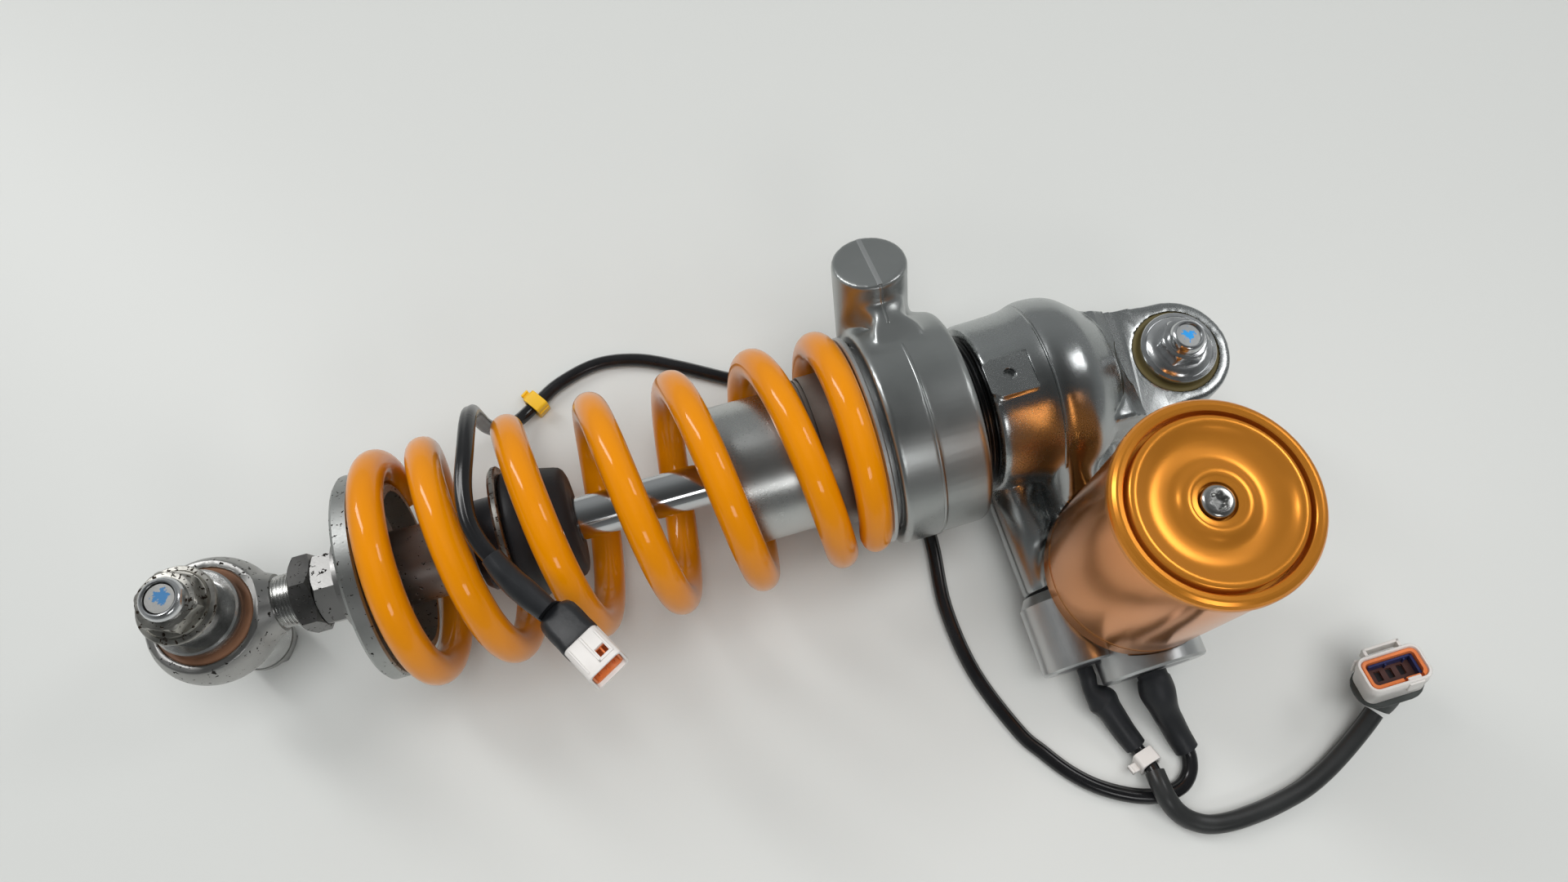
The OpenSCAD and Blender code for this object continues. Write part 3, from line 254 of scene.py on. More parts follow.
def ridge(s, axis, place, height, beyond=None):
    """A fine line raised across a piece, such as a mould's parting line, at one coordinate in mm.

    With beyond, the line is there only where Y is larger than that.
    """
    split = s.node("ShaderNodeSeparateXYZ", {0: s.coords.outputs["Object"]})
    off = s.maths("ABSOLUTE", s.maths("SUBTRACT", split.outputs[axis], place * M), 0.0)
    line = s.ramp(off, 0.15 * M, 0.5 * M, 1, 0)
    if beyond:
        line = s.maths("MULTIPLY", line, s.ramp(split.outputs[1], beyond * M, (beyond + 1) * M))
    s.bump(line, height)


def rubber(name, colour, rough=0.6, grain=0.03, scale=900, tint=0.25):
    s = Shader(name, colour, 0.0, rough)
    fine = s.noise(scale, 3)
    wide = s.noise(60, 3)
    s.link("Base Color", s.mix(s.ramp(wide, 0.35, 0.7), *shades(colour, tint)))
    s.link("Roughness", s.ramp(wide, 0.3, 0.7, rough - 0.07, rough + 0.07))
    s.bump(fine, grain)


def plastic(name, colour, rough=0.4):
    rubber(name, colour, rough, 0.012, 1200, 0.05)


def painted_end(name, base, centre, top, colour, size):
    """A metal with a dab of paint on the end of a bolt that stands along Z."""
    s = metal(name, *base)
    wobble = s.noise(700, 3)
    offset = s.node("ShaderNodeVectorMath", {0: s.coords.outputs["Object"],
                                             1: (centre[0] * M, centre[1] * M, top * M)},
                    operation="DISTANCE").outputs["Value"]
    reach = s.maths("ADD", offset, s.ramp(wobble, 0.3, 0.7, -1.4 * M, 1.4 * M))
    dab = s.ramp(reach, (size - 0.3) * M, (size + 0.1) * M, 1, 0)
    s.link("Base Color", s.mix(dab, s.feeding("Base Color"), colour))
    s.link("Metallic", s.ramp(dab, 0, 1, 1, 0))


def colour_beyond(s, x, colour):
    """Gives a metal another colour beyond x mm along the shock."""
    along = s.node("ShaderNodeSeparateXYZ", {0: s.coords.outputs["Object"]}).outputs[0]
    s.link("Base Color", s.mix(s.ramp(along, x * M, (x + 0.3) * M), s.feeding("Base Color"), colour))


def spring_paint():
    s = Shader("spring_orange", (0.76, 0.255, 0.0), 0.0, 0.3, coat_weight=0.6, coat_roughness=0.04,
               specular_ior_level=0.1)
    wide = s.noise(25, 3)
    s.link("Base Color", s.mix(s.ramp(wide, 0.3, 0.7), (0.74, 0.245, 0.0), (0.78, 0.265, 0.001)))
    s.bump(s.noise(500, 2), 0.005)


ridge(metal("cast_grey", (0.42, 0.435, 0.43), 0.34, 0.05, 0.012, 2600, 0.06), 0, 223.8, 0.3, 24)
ridge(metal("head_grey", (0.42, 0.435, 0.435), 0.25, 0.04, 0.006, 2200, 0.05), 0, 267.8, 0.35, -30)
pitted(metal("eye_grey", (0.38, 0.375, 0.365), 0.38, 0.06, 0.015), 650, 0.64, (0.07, 0.065, 0.06))
metal("machined", (0.6, 0.61, 0.61), 0.34, 0.04, 0.03, 900, 0.05, stretch=(4, 0.4, 4))
metal("inner_alloy", (0.6, 0.6, 0.62), 0.35)
metal("bright_steel", (0.55, 0.55, 0.54), 0.22, 0.08, 0.01, 1800, 0.14, 90)
pitted(metal("dull_steel", (0.4, 0.39, 0.36), 0.38, 0.1, 0.03, 1400, 0.3, 160), 700, 0.6, (0.08, 0.06, 0.045))
pitted(metal("dark_steel", (0.2, 0.195, 0.19), 0.34, 0.06, 0.02, 1400, 0.15, 120), 800, 0.64,
       (0.03, 0.025, 0.02))
metal("zinc", (0.66, 0.67, 0.68), 0.2, 0.05, 0.006, 1400, 0.1, 160)
metal("chrome_rod", (0.62, 0.63, 0.64), 0.11, 0.02, 0, 1500, 0.03, speckle=0.005)
pitted(metal("seat_grey", (0.42, 0.43, 0.42), 0.45, 0.05, 0.02), 800, 0.65, (0.03, 0.03, 0.03))
colour_beyond(metal("upper_seat", (0.3, 0.27, 0.245), 0.5, 0.05, 0.05, 1300, 0.15), 208.3, (0.6, 0.61, 0.61))
# The tube turns near black beyond 240.5 mm: painted shade on its thread in the recess between the ring and
# the head
colour_beyond(metal("tube_satin", (0.52, 0.53, 0.52), 0.3, 0.04, 0.01, 1500, 0.05), 240.5, (0.1, 0.1, 0.1))
ridge(metal("copper_anodised", (0.8, 0.3, 0.07), 0.16, 0.02, 0, 1800, 0.04, speckle=0.004), 2, -3, 0.25)
MATS["copper_anodised"].set("Metallic", 0.85)
metal("gold_anodised", (0.76, 0.28, 0.03), 0.25, 0.02, 0, 1800, 0.04, speckle=0.004).set("Metallic", 0.7)
metal("bronze", (0.5, 0.38, 0.2), 0.4)
metal("black_steel", (0.05, 0.05, 0.055), 0.4)
metal("valve_black", (0.2, 0.2, 0.22), 0.4)
rubber("black_rubber", (0.02, 0.02, 0.022))
rubber("bump_foam", (0.016, 0.016, 0.018), 0.55, 0.05, 1100)
rubber("seal_rust", (0.16, 0.08, 0.045), 0.6, 0.05, 900, 0.4)
rubber("seal_olive", (0.1, 0.08, 0.03), 0.55, 0.04, 900, 0.3)
rubber("boot_black", (0.014, 0.015, 0.017), 0.45, 0.05, 700)
rubber("lead_black", (0.009, 0.009, 0.01), 0.24, 0.006, 600)
rubber("sheath_black", (0.022, 0.023, 0.023), 0.36, 0.01, 600)
rubber("grey_rubber", (0.05, 0.055, 0.052), 0.5)
rubber("orange_seal", (0.75, 0.21, 0.06), 0.4, 0.02, 900, 0.12)
plastic("white_plastic", (0.74, 0.71, 0.68))
plastic("yellow_plastic", (0.85, 0.5, 0.02))
plastic("socket_brown", (0.085, 0.04, 0.035))
plastic("socket_dark", (0.012, 0.01, 0.012), 0.5)
plastic("retainer_blue", (0.025, 0.035, 0.12))
spring_paint()
painted_end("lower_bolt_end", ((0.36, 0.36, 0.35), 0.35, 0.08, 0.02), (0.5, 0.5), 32.8, (0.03, 0.16, 0.36),
            2.2)
painted_end("upper_bolt_end", ((0.42, 0.43, 0.43), 0.32, 0.08, 0.02), (316.4, -2.2), 21.4, (0.01, 0.3, 0.75),
            1.8)
SLOTS = {s["node"]: s["material_slot"] for s in frame["record"]["subparts"]}
# Nodes that wear another material than the one their slot names
LOOKS = {"head_casting": "head_grey", "lower_bolt": "lower_bolt_end", "upper_bolt": "upper_bolt_end",
         "lead_b_sheath": "sheath_black", "lower_lock_nut": "dark_steel", "upper_spring_seat": "upper_seat"}


def dress(obj, look, sharp):
    """Gives an object its material, and smooth shading with edges where faces turn by more degrees."""
    obj.data.materials.clear()
    obj.data.materials.append(MATS[look].mat)
    obj.data.shade_smooth()
    sharpen(obj, sharp)


def sharpen(obj, degrees):
    obj.data.set_sharp_from_angle(angle=math.radians(degrees))


for node_name, node_obj in NODES.items():
    dress(node_obj, LOOKS.get(node_name, SLOTS[node_name]), 32)


# Meshes

def mesh_object(name, solids, look, body, node=None, smooth=50, bevel=0.0):
    """One piece from solids, each a list of points in mm and a list of faces."""
    points, faces = [], []
    for p, f in solids:
        n = len(points)
        points += [tuple(float(c) * M for c in q) for q in p]
        faces += [tuple(i + n for i in face) for face in f]
    mesh = bpy.data.meshes.new(name)
    mesh.from_pydata(points, [], faces)
    mesh.update()
    obj = bpy.data.objects.new(name, mesh)
    SCENE.collection.objects.link(obj)
    finish_piece(obj, look, body, node, smooth)
    if bevel:
        bevelled(obj, bevel, 40)
    return obj


def bevelled(obj, width, degrees):
    mod = obj.modifiers.new("bevel", "BEVEL")
    mod.width, mod.segments, mod.limit_method = width * M, 2, "ANGLE"
    mod.angle_limit = math.radians(degrees)


def finish_piece(obj, look, body, node, smooth):
    dress(obj, look, smooth)
    nodes = [node] if isinstance(node, str) else list(node or [])
    if nodes:
        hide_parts(*nodes)
    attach(obj, body)


def placed(matrix, solid):
    points, faces = solid
    return [tuple(matrix @ Vector(p)) for p in points], faces


def along_x(x):
    """The frame of a turned piece whose axis is the shock's own."""
    return Matrix.Translation((x, 0, 0)) @ Matrix.Rotation(math.radians(90), 4, "Y")


def turned(profile, sides=96):
    """A closed ring of revolution about Z from a closed [radius, height] profile."""
    n = len(profile)
    area = sum(profile[i][0] * profile[(i + 1) % n][1] - profile[(i + 1) % n][0] * profile[i][1]
               for i in range(n))
    if area < 0:
        profile = profile[::-1]
    points = [(r * math.cos(2 * math.pi * k / sides), r * math.sin(2 * math.pi * k / sides), z)
              for k in range(sides) for r, z in profile]
    faces = []
    for k in range(sides):
        m = (k + 1) % sides
        for i in range(n):
            j = (i + 1) % n
            faces.append((k * n + i, m * n + i, m * n + j, k * n + j))
    return points, faces


def loft(loops):
    """A closed solid through loops of equal length, drawn anticlockwise about the way they climb."""
    n = len(loops[0])
    points = [tuple(p) for loop in loops for p in loop]
    faces = [tuple(range(n))[::-1]]
    for i in range(len(loops) - 1):
        for k in range(n):
            m = (k + 1) % n
            faces.append((i * n + k, i * n + m, (i + 1) * n + m, (i + 1) * n + k))
    faces.append(tuple(range((len(loops) - 1) * n, len(loops) * n)))
    return points, faces


def rounded_box(w, d, r, z, at=(0, 0), n=6):
    """A rounded rectangle at height z."""
    out = []
    for cx, cy, start in ((1, 1, 0), (-1, 1, 90), (-1, -1, 180), (1, -1, 270)):
        for k in range(n):
            a = math.radians(start + 90 * k / (n - 1))
            out.append((at[0] + cx * (w / 2 - r) + r * math.cos(a),
                        at[1] + cy * (d / 2 - r) + r * math.sin(a), z))
    return out


def shaped(*rows):
    """A solid through rounded rectangles, each given as for rounded_box."""
    return loft([rounded_box(*row) for row in rows])


def block(low, high, r=0.2):
    """A box with rounded upright edges between two corners."""
    w, d = high[0] - low[0], high[1] - low[1]
    at = ((high[0] + low[0]) / 2, (high[1] + low[1]) / 2)
    r = min(r, w / 2.01, d / 2.01)
    return shaped((w, d, r, low[2], at, 3), (w, d, r, high[2], at, 3))


def applied(obj):
    """Puts the result of an object's modifiers into its mesh."""
    bpy.context.view_layer.update()
    made = bpy.data.meshes.new_from_object(obj.evaluated_get(bpy.context.evaluated_depsgraph_get()))
    obj.modifiers.clear()
    obj.data = made
    return obj


def carve(obj, *solids):
    """Cuts solids out of an object."""
    for points, faces in solids:
        mesh = bpy.data.meshes.new("cutter")
        mesh.from_pydata([tuple(c * M for c in p) for p in points], [], faces)
        tool = bpy.data.objects.new("cutter", mesh)
        SCENE.collection.objects.link(tool)
        mod = obj.modifiers.new("cut", "BOOLEAN")
        mod.operation, mod.solver, mod.object = "DIFFERENCE", "MANIFOLD", tool
        applied(obj)
        bpy.data.objects.remove(tool)
        bpy.data.meshes.remove(mesh)


def cylinder(r, z0, z1, sides=96):
    return loft([[(r * math.cos(2 * math.pi * k / sides), r * math.sin(2 * math.pi * k / sides), z)
                  for k in range(sides)] for z in (z0, z1)])


def remeshed(name, node, voxel):
    """A copy of a CAD node's mesh, rebuilt from small even faces."""
    obj = bpy.data.objects.new(name, NODES[node].data.copy())
    SCENE.collection.objects.link(obj)
    mod = obj.modifiers.new("remesh", "REMESH")
    mod.mode, mod.voxel_size, mod.adaptivity = "VOXEL", voxel * M, 0
    return applied(obj)


def positions(mesh):
    """A mesh's points in metres, one to a row."""
    co = np.empty(len(mesh.vertices) * 3)
    mesh.vertices.foreach_get("co", co)
    return co.reshape(-1, 3)


def soften(obj, kept, inner_steps, all_steps):
    """Fills inner corners with fillets as a casting has, then takes the sharpness off its edges.

    kept gives, for points in mm, those that stay where they are.
    """
    mesh = obj.data
    co = positions(mesh)
    edges = np.empty(len(mesh.edges) * 2, int)
    mesh.edges.foreach_get("vertices", edges)
    edges = edges.reshape(-1, 2)
    count = np.bincount(edges.ravel(), minlength=len(co))[:, None]
    free = 1.0 - kept(co / M).astype(float)[:, None]
    normal = np.empty(len(co) * 3)
    for step in range(inner_steps + all_steps):
        around = np.stack([np.bincount(edges[:, 0], co[edges[:, 1], k], len(co))
                           + np.bincount(edges[:, 1], co[edges[:, 0], k], len(co)) for k in range(3)], 1)
        move = 0.5 * (around / count - co) * free
        if step < inner_steps:
            if step % 8 == 0:
                mesh.vertices.foreach_set("co", co.ravel())
                mesh.update()
                mesh.vertex_normals.foreach_get("vector", normal)
                facing = normal.reshape(-1, 3)
            move = facing * np.maximum((move * facing).sum(1, keepdims=True), 0)
        co = co + move
    mesh.vertices.foreach_set("co", co.ravel())
    mesh.update()


def spline(points, steps):
    """The CAD route's own curve, as points, steps to a span."""
    p = np.array(points, float)
    out = []
    last = len(p) - 1
    for i in range(last):
        a, b, c, d = p[max(i - 1, 0)], p[i], p[i + 1], p[min(i + 2, last)]
        for k in range(steps):
            t = k / steps
            out.append(0.5 * (2 * b + (c - a) * t + (2 * a - 5 * b + 4 * c - d) * t * t
                              + (3 * b - a - 3 * c + d) * t ** 3))
    out.append(p[-1])
    return np.array(out)


def length_of(path):
    return float(np.linalg.norm(np.diff(path, axis=0), axis=1).sum())


def sweep(path, radii, sides, start, shape=None):
    """One closed tube along a path. shape(angle, share of length) scales its radius."""
    path = np.array(path, float)
    n = len(path)
    radii = np.broadcast_to(np.array(radii, float), (n,))
    side = np.array(start, float)
    loops = []
    for i in range(n):
        t = path[min(i + 1, n - 1)] - path[max(i - 1, 0)]
        t /= np.linalg.norm(t)
        side = side - side.dot(t) * t
        side /= np.linalg.norm(side)
        other = np.cross(t, side)
        loop = []
        for k in range(sides):
            a = 2 * math.pi * k / sides
            r = radii[i] * (shape(a, i / (n - 1)) if shape else 1)
            loop.append(path[i] + r * (math.cos(a) * side + math.sin(a) * other))
        loops.append(loop)
    return loft(loops)


def dent(a, middle, width):
    """A smooth hump of height one round an angle."""
    gap = (a - middle + math.pi) % (2 * math.pi) - math.pi
    return math.exp(-(gap / width) ** 2)


# Leads: the same routes as in the CAD source

LEAD_A = [(286.3, -120.4, -37.8), (287.1, -124, -39.2), (285.8, -128.6, -40.1),
          (282.3, -132, -40.4), (277.4, -133.3, -40.4), (271.4, -132.9, -40.4), (265, -130.8, -40.4),
          (258.2, -127.2, -40.4), (252.2, -122.8, -40.4), (246.4, -116.8, -40.4), (241, -109.2, -40.4),
          (235.6, -100.4, -40.4), (228, -78, -40.4), (226, -54, -40.4), (229, -31, -40.4),
          (229, -12, -40.4), (221, 7, -40.4), (208, 25, -40.4), (192, 41, -40.4), (175, 51, -40.4),
          (160, 60, -40.4), (146, 67, -40.4), (131, 69.5, -40.4), (116, 65.5, -39.8),
          (106, 59.5, -39.2), (98, 53.5, -36), (92.5, 48.5, -26), (91, 45, -13), (91.2, 42, 2),
          (92, 38, 17), (92.5, 29.5, 30), (91.5, 17, 38.5), (89.5, 5, 42), (89.2, -5, 43),
          (91, -12.4, 42.8), (94, -18.8, 42)]
LEAD_B = [(269.9, -114.2, -38.6), (271.4, -118.2, -38.4), (272.4, -121.6, -37.2)]
SHEATH = [(272.7, -125.8, -35.6), (272.5, -130, -34.4), (273, -134.4, -34.5), (275.2, -139, -36.7),
          (279.2, -143, -38.8), (284.8, -146, -39.5), (291.9, -147.2, -39.5), (299.6, -147.2, -39.5),
          (307.8, -146.6, -39.5), (319, -144.7, -39.5), (328.2, -141.6, -39.4), (335.8, -138, -38.8),
          (342.4, -134.2, -37.6), (347.4, -131, -36.4), (350.6, -128.6, -35.2)]
BOOT_A = [(281, -95.8, -26), (281, -98, -26), (281.3, -102, -28), (282.3, -107.3, -31.4),
          (283.8, -112, -34.4), (285.4, -117, -36.8), (286.8, -122, -38.2)]
BOOT_B = [(261.9, -87.8, -31.1), (261.9, -91, -31.1), (261.9, -95, -32.4), (264.5, -99.2, -34.2),
          (266, -103, -35), (268.6, -110, -37.4), (271, -116.2, -38.7)]
BOOT_C = [(93.2, -17, 42.2), (96, -23, 41.5), (100.2, -29.6, 40.5), (104.2, -35.3, 39.5)]
NECK = [(353.8, -121, -27.2), (354.3, -122.4, -30.2), (353.6, -124.8, -32.8), (351.6, -127.4, -34.6)]
LEAD_START = (0.1, 0.2, 1)


def smooth_radii(radii, steps):
    return spline([(r, 0, 0) for r in radii], steps)[:, 0]


def twin(a, share):
    """The outline of a lead with two cores side by side."""
    return 1.02 - 0.16 * dent(a, 1.4, 0.32) - 0.16 * dent(a, 1.4 + math.pi, 0.32)


def folded(a, share):
    """The sleeve's outline: a flattened fold runs along one side."""
    fold = 0.5 + 0.5 * math.sin(8 * share + 1)
    return 0.93 + 0.1 * dent(a, 5.3, 0.35) - (0.06 + 0.05 * fold) * dent(a, 4.6, 0.25) \
        - 0.05 * dent(a, 2.2, 0.5)


def wrinkled(a, share):
    """Shrunk rubber: shallow folds that turn round the sleeve."""
    return 1 + 0.018 * math.sin(3 * a + 9 * share) * math.sin(math.pi * share) \
        + 0.012 * math.sin(23 * share + a) * math.sin(math.pi * share)


def boot(name, node, route, radii):
    path = np.vstack([spline(route[:2], 3)[:-1], spline(route[1:], 7)])
    r = np.concatenate([np.full(3, radii[0]), smooth_radii(radii[1:], 7)])
    # The free end is rolled in over the lead
    path = np.vstack([path, path[-1]])
    r = np.append(r, r[-1] * 0.72)
    path[-1] -= 0.05 * (path[-2] - path[-3])
    mesh_object(name, [sweep(path, r, 36, LEAD_START, wrinkled)], "boot_black", "damper", node)


def connector_frame(place, *turns):
    made = Matrix.Translation(place)
    for degrees, axis in turns:
        made = made @ Matrix.Rotation(math.radians(degrees), 4, axis)
    return made


FRAME_A = connector_frame((110.4, -44.4, 38), (-61, "Z"), (74.5, "Y"), (90, "Z"))
FRAME_B = connector_frame((351.5, -116.8, -13), (-10, "Y"), (-17.5, "X"))


def make_connector_a():
    """The small two-way connector: its mouth faces along +Z of its frame, its latch along +Y."""
    shell = mesh_object("connector_a_shell", [placed(FRAME_A, shaped(
        (9.6, 8, 1.6, 0), (10.2, 8.4, 1.6, 0.5), (10.4, 8.6, 1.6, 2.6), (11.2, 8.9, 1.8, 3),
        (11.6, 9.2, 1.8, 14.1), (11.2, 8.8, 1.6, 14.6), (10, 7.6, 1.2, 14.6), (9.8, 7.4, 1.2, 14.2),
        (9.6, 7.2, 1.1, 5)))],
        "white_plastic", "damper", "connector_a", 35)
    window = [placed(FRAME_A, block((0.8, 2, 9.2), (3.8, 6, 12.2))),
              placed(FRAME_A, block((-7, 1.4, 11.4), (-4.9, 3.2, 12.8)))]
    carve(shell, *window)
    sharpen(shell, 35)
    bars = [block((-0.3, 4.3, 3.8), (0.5, 4.95, 13.2)), block((4, 4.1, 5), (4.7, 4.8, 13.2)),
            block((-0.3, 4.3, 12.5), (4.7, 4.95, 13.2)), block((-4.6, 4.2, 4), (-3.9, 4.8, 13.4)),
            block((5.4, -2.4, 3), (5.9, -1.6, 13.4)), block((5.4, 1.4, 3), (5.9, 2.2, 13.4))]
    mesh_object("connector_a_latch_frame", [placed(FRAME_A, b) for b in bars], "white_plastic", "damper",
                bevel=0.12)
    lip = shaped((9.5, 7.1, 1.1, 5.2), (9.5, 7.1, 1.1, 13.4), (8.3, 5.9, 0.8, 13.4), (8.3, 5.9, 0.8, 5.8))
    seal = mesh_object("connector_a_seal", [placed(FRAME_A, lip)], "orange_seal", "damper")
    carve(seal, window[0])
    ribs = [block((x - 0.3, y - 0.45, 5.5), (x + 0.3, y + 0.45, 12.4)) for x in (-2.4, 0, 2.4)
            for y in (-2.7, 2.7)]
    mesh_object("connector_a_ribs", [placed(FRAME_A, b) for b in ribs], "orange_seal", "damper")


def make_connector_b():
    """The three-way connector: its mouth faces along +Z of its frame."""
    mesh_object("connector_b_shell", [placed(FRAME_B, shaped(
        (19, 10.8, 2.8, -12), (19.8, 11.6, 3, -11.4), (20, 11.8, 3, -5), (20.6, 12.4, 3.2, -4.4),
        (20.6, 12.4, 3.2, -0.5), (20, 11.8, 3, 0), (18.7, 10.5, 2.4, 0), (18.2, 10, 2.2, -0.6),
        (18, 9.8, 2.1, -7)))], "white_plastic", "damper", "connector_b", 35)
    latch = [block((-6, 6.1, -5.6), (-5, 8.8, -0.8)), block((5, 6.1, -5.6), (6, 8.8, -0.8)),
             block((-6, 8, -5.6), (6, 8.9, -0.8)), block((-3.4, 6, -3.6), (3.4, 6.9, -2.4)),
             block((-9.6, 5.6, -9.6), (-8.2, 6.5, -2)), block((1.6, -6.7, -6), (6.4, -5.9, -0.6)),
             block((1.9, -5.4, -3.6), (6.1, -4.2, -0.3))]
    mesh_object("connector_b_latch", [placed(FRAME_B, b) for b in latch], "white_plastic", "damper",
                bevel=0.15)
    seal = mesh_object("connector_b_seal", [placed(FRAME_B, shaped(
        (18, 9.8, 2, -6.9), (18, 9.8, 2, -0.7), (17.4, 9.2, 1.8, -0.4), (15.8, 7.6, 1.4, -0.6),
        (15.6, 7.4, 1.3, -6.4)))],
        "orange_seal", "damper", "connector_seals")
    carve(seal, *[placed(FRAME_B, block((x - 0.5, -5.4, -2.6), (x + 0.5, -3.4, 1))) for x in (1.3, 6.7)])
    socket = mesh_object("connector_b_socket", [placed(FRAME_B, shaped(
        (15.5, 7.3, 1.2, -6.9), (15.5, 7.3, 1.2, -5.4)))], "socket_brown", "damper")
    ways = (-4, -0.3, 3.4)
    slots = [block((x - 1, -1.3, -6.6), (x + 1, 2.1, -5)) for x in ways]
    slots += [block((x - 0.3, -2.9, -6.6), (x + 0.3, -2.3, -5)) for x in (-4.4, -2.8, 2.2, 5)]
    carve(socket, *[placed(FRAME_B, b) for b in slots])
    contacts = [block((x - 0.95, -1.25, -6.55), (x + 0.95, 2.05, -6.3)) for x in ways]
    mesh_object("connector_b_contacts", [placed(FRAME_B, b) for b in contacts], "socket_dark", "damper")
    wall = [block((-6.6, 2.9, -6), (7.6, 3.6, -2.2)), block((6.7, -3.5, -6), (7.6, 3.5, -2.2)),
            block((-1.4, 2.3, -6), (-0.8, 3, -2.6)), block((4.6, 2.3, -6), (5.2, 3, -2.6))]
    mesh_object("connector_b_retainer", [placed(FRAME_B, b) for b in wall], "retainer_blue", "damper",
                bevel=0.1)


def make_connector_boots():
    # The first boot goes from a round tube to the shape of the housing's back
    circle = [math.atan2(p[1], p[0]) for p in rounded_box(9, 9, 4.49, 0)]
    path = spline(BOOT_C, 6)
    radii = smooth_radii([3.1, 3.6, 3.8, 3.4], 6)
    side = np.array(FRAME_A.to_3x3() @ Vector((1, 0, 0)))
    loops = []
    for i, p in enumerate(path):
        t = path[min(i + 1, len(path) - 1)] - path[max(i - 1, 0)]
        t /= np.linalg.norm(t)
        u = side - side.dot(t) * t
        u /= np.linalg.norm(u)
        v = np.cross(t, u)
        share = i / (len(path) - 1)
        loops.append([p + radii[i] * wrinkled(a, share) * (math.cos(a) * u + math.sin(a) * v)
                      for a in circle])
    loops.insert(0, [p * 0.3 + path[0] * 0.7 for p in loops[0]])
    for w, d, r, z in ((8.4, 7.6, 3.6, -10), (10.8, 8.8, 3.4, -9), (11.7, 9.5, 3, -7.4), (12, 9.8, 2.7, -4),
                       (11.8, 9.6, 2.6, 0), (12, 9.7, 2.4, 2.4), (11.7, 9.4, 2.2, 3.2), (10, 8.2, 2, 3.3)):
        loops.append([np.array(FRAME_A @ Vector(p)) for p in rounded_box(w, d, r, z)])
    mesh_object("connector_a_sleeve", [loft(loops)], "boot_black", "damper", "connector_a_boot", 60)
    flange = placed(FRAME_B, shaped(
        (20.4, 12.4, 5.9, -15), (22, 14, 6.6, -14.4), (22.6, 14.6, 6.8, -13.4), (22.4, 14.4, 6.7, -12.6),
        (21, 13, 6, -12.2)))
    neck = sweep(spline(NECK, 6), smooth_radii([5.9, 5.9, 5.5, 4.4], 6), 36, LEAD_START, wrinkled)
    mesh_object("connector_b_gland", [flange, neck], "grey_rubber", "damper", "connector_b_boot", 60)


def clip(name, node, matrix, r, look):
    """A snap clip: a band round the lead with a hinge and a small tail."""
    turn = Matrix.Rotation(math.radians(90), 4, "Y") @ Matrix.Rotation(math.radians(90), 4, "Z")
    w, d = 2 * r + 1.8, 2 * r + 1.6
    hole = 2 * r + 0.3
    points, faces = shaped((w, d, 1.3, -2.5), (w, d, 1.3, 2.5), (hole, hole, r, 2.5), (hole, hole, r, -2.5))
    # The inner loops join up with the outer ones, so no end is capped
    n = len(points) // 4
    faces = faces[1:-1] + [(3 * n + k, 3 * n + (k + 1) % n, (k + 1) % n, k) for k in range(n)]
    tail = [block((w / 2 - 0.2, -1.2, -1.5), (w / 2 + 2.8, 0, 1.5)),
            block((w / 2 + 1.9, -1.2, -1.5), (w / 2 + 2.8, 0.7, 1.5)),
            block((-w / 2 - 0.35, -0.9, -2.2), (-w / 2 + 0.3, 0.9, 2.2))]
    mesh_object(name, [placed(matrix @ turn, b) for b in [(points, faces), *tail]], look, "damper", node, 40,
                bevel=0.18)


def make_leads():
    boot("compression_boot", "lead_a_boot", BOOT_A, [4.9, 5.4, 5.9, 4.8, 4.4, 4.2, 4])
    boot("rebound_boot", "lead_b_boot", BOOT_B, [2.7, 2.8, 2.8, 5.2, 4.3, 4, 3.7])
    make_connector_boots()
    make_connector_a()
    make_connector_b()
    clip("yellow_clip", "lead_a_clip", connector_frame((106.2, 59.6, -39.2), (34, "Z")), 3.0,
         "yellow_plastic")
    clip("white_clip", "lead_b_clip", connector_frame((272.3, -121.4, -37.3), (-76, "Z"), (-20, "Y"))
         @ Matrix.Scale(-1, 4, (0, 1, 0)), 2.8, "white_plastic")
    sheath = spline(SHEATH, 6)
    mesh_object("lead_b_sleeve", [sweep(sheath, 3.4, 40, LEAD_START, folded)], "sheath_black", "damper",
                "lead_b_sheath")
    a = spline(LEAD_A, 6)
    lead_a = mesh_object("lead_a_cord", [sweep(a, 2.5, 28, LEAD_START, twin)], "lead_black", "damper",
                         "lead_a")
    b = spline(LEAD_B + SHEATH, 6)
    lead_b = mesh_object("lead_b_cord", [sweep(b, 2.4, 28, LEAD_START, twin)], "lead_black", "damper",
                         "lead_b")
    print("lead lengths, mm:", round(length_of(a), 1), round(length_of(b), 1))


make_leads()


# Coil spring, from the CAD source's formula
WIRE_D, COIL_R, COIL_START, COIL_END = 10.5, 33.25, 53.5, 208.7
FIRST_TURN, LAST_TURN, RAMP_IN, RAMP_OUT = -0.15, 6.43, 0.84, (5.4, 6.3)
COIL_PHASE = 67


def coil_rise(u):
    if u <= 0:
        return 0
    if u < RAMP_IN:
        return u * u / (2 * RAMP_IN)
    if u < RAMP_OUT[0]:
        return u - RAMP_IN / 2
    v = min(u, RAMP_OUT[1]) - RAMP_OUT[0]
    return RAMP_OUT[0] - RAMP_IN / 2 + v - v * v / (2 * (RAMP_OUT[1] - RAMP_OUT[0]))


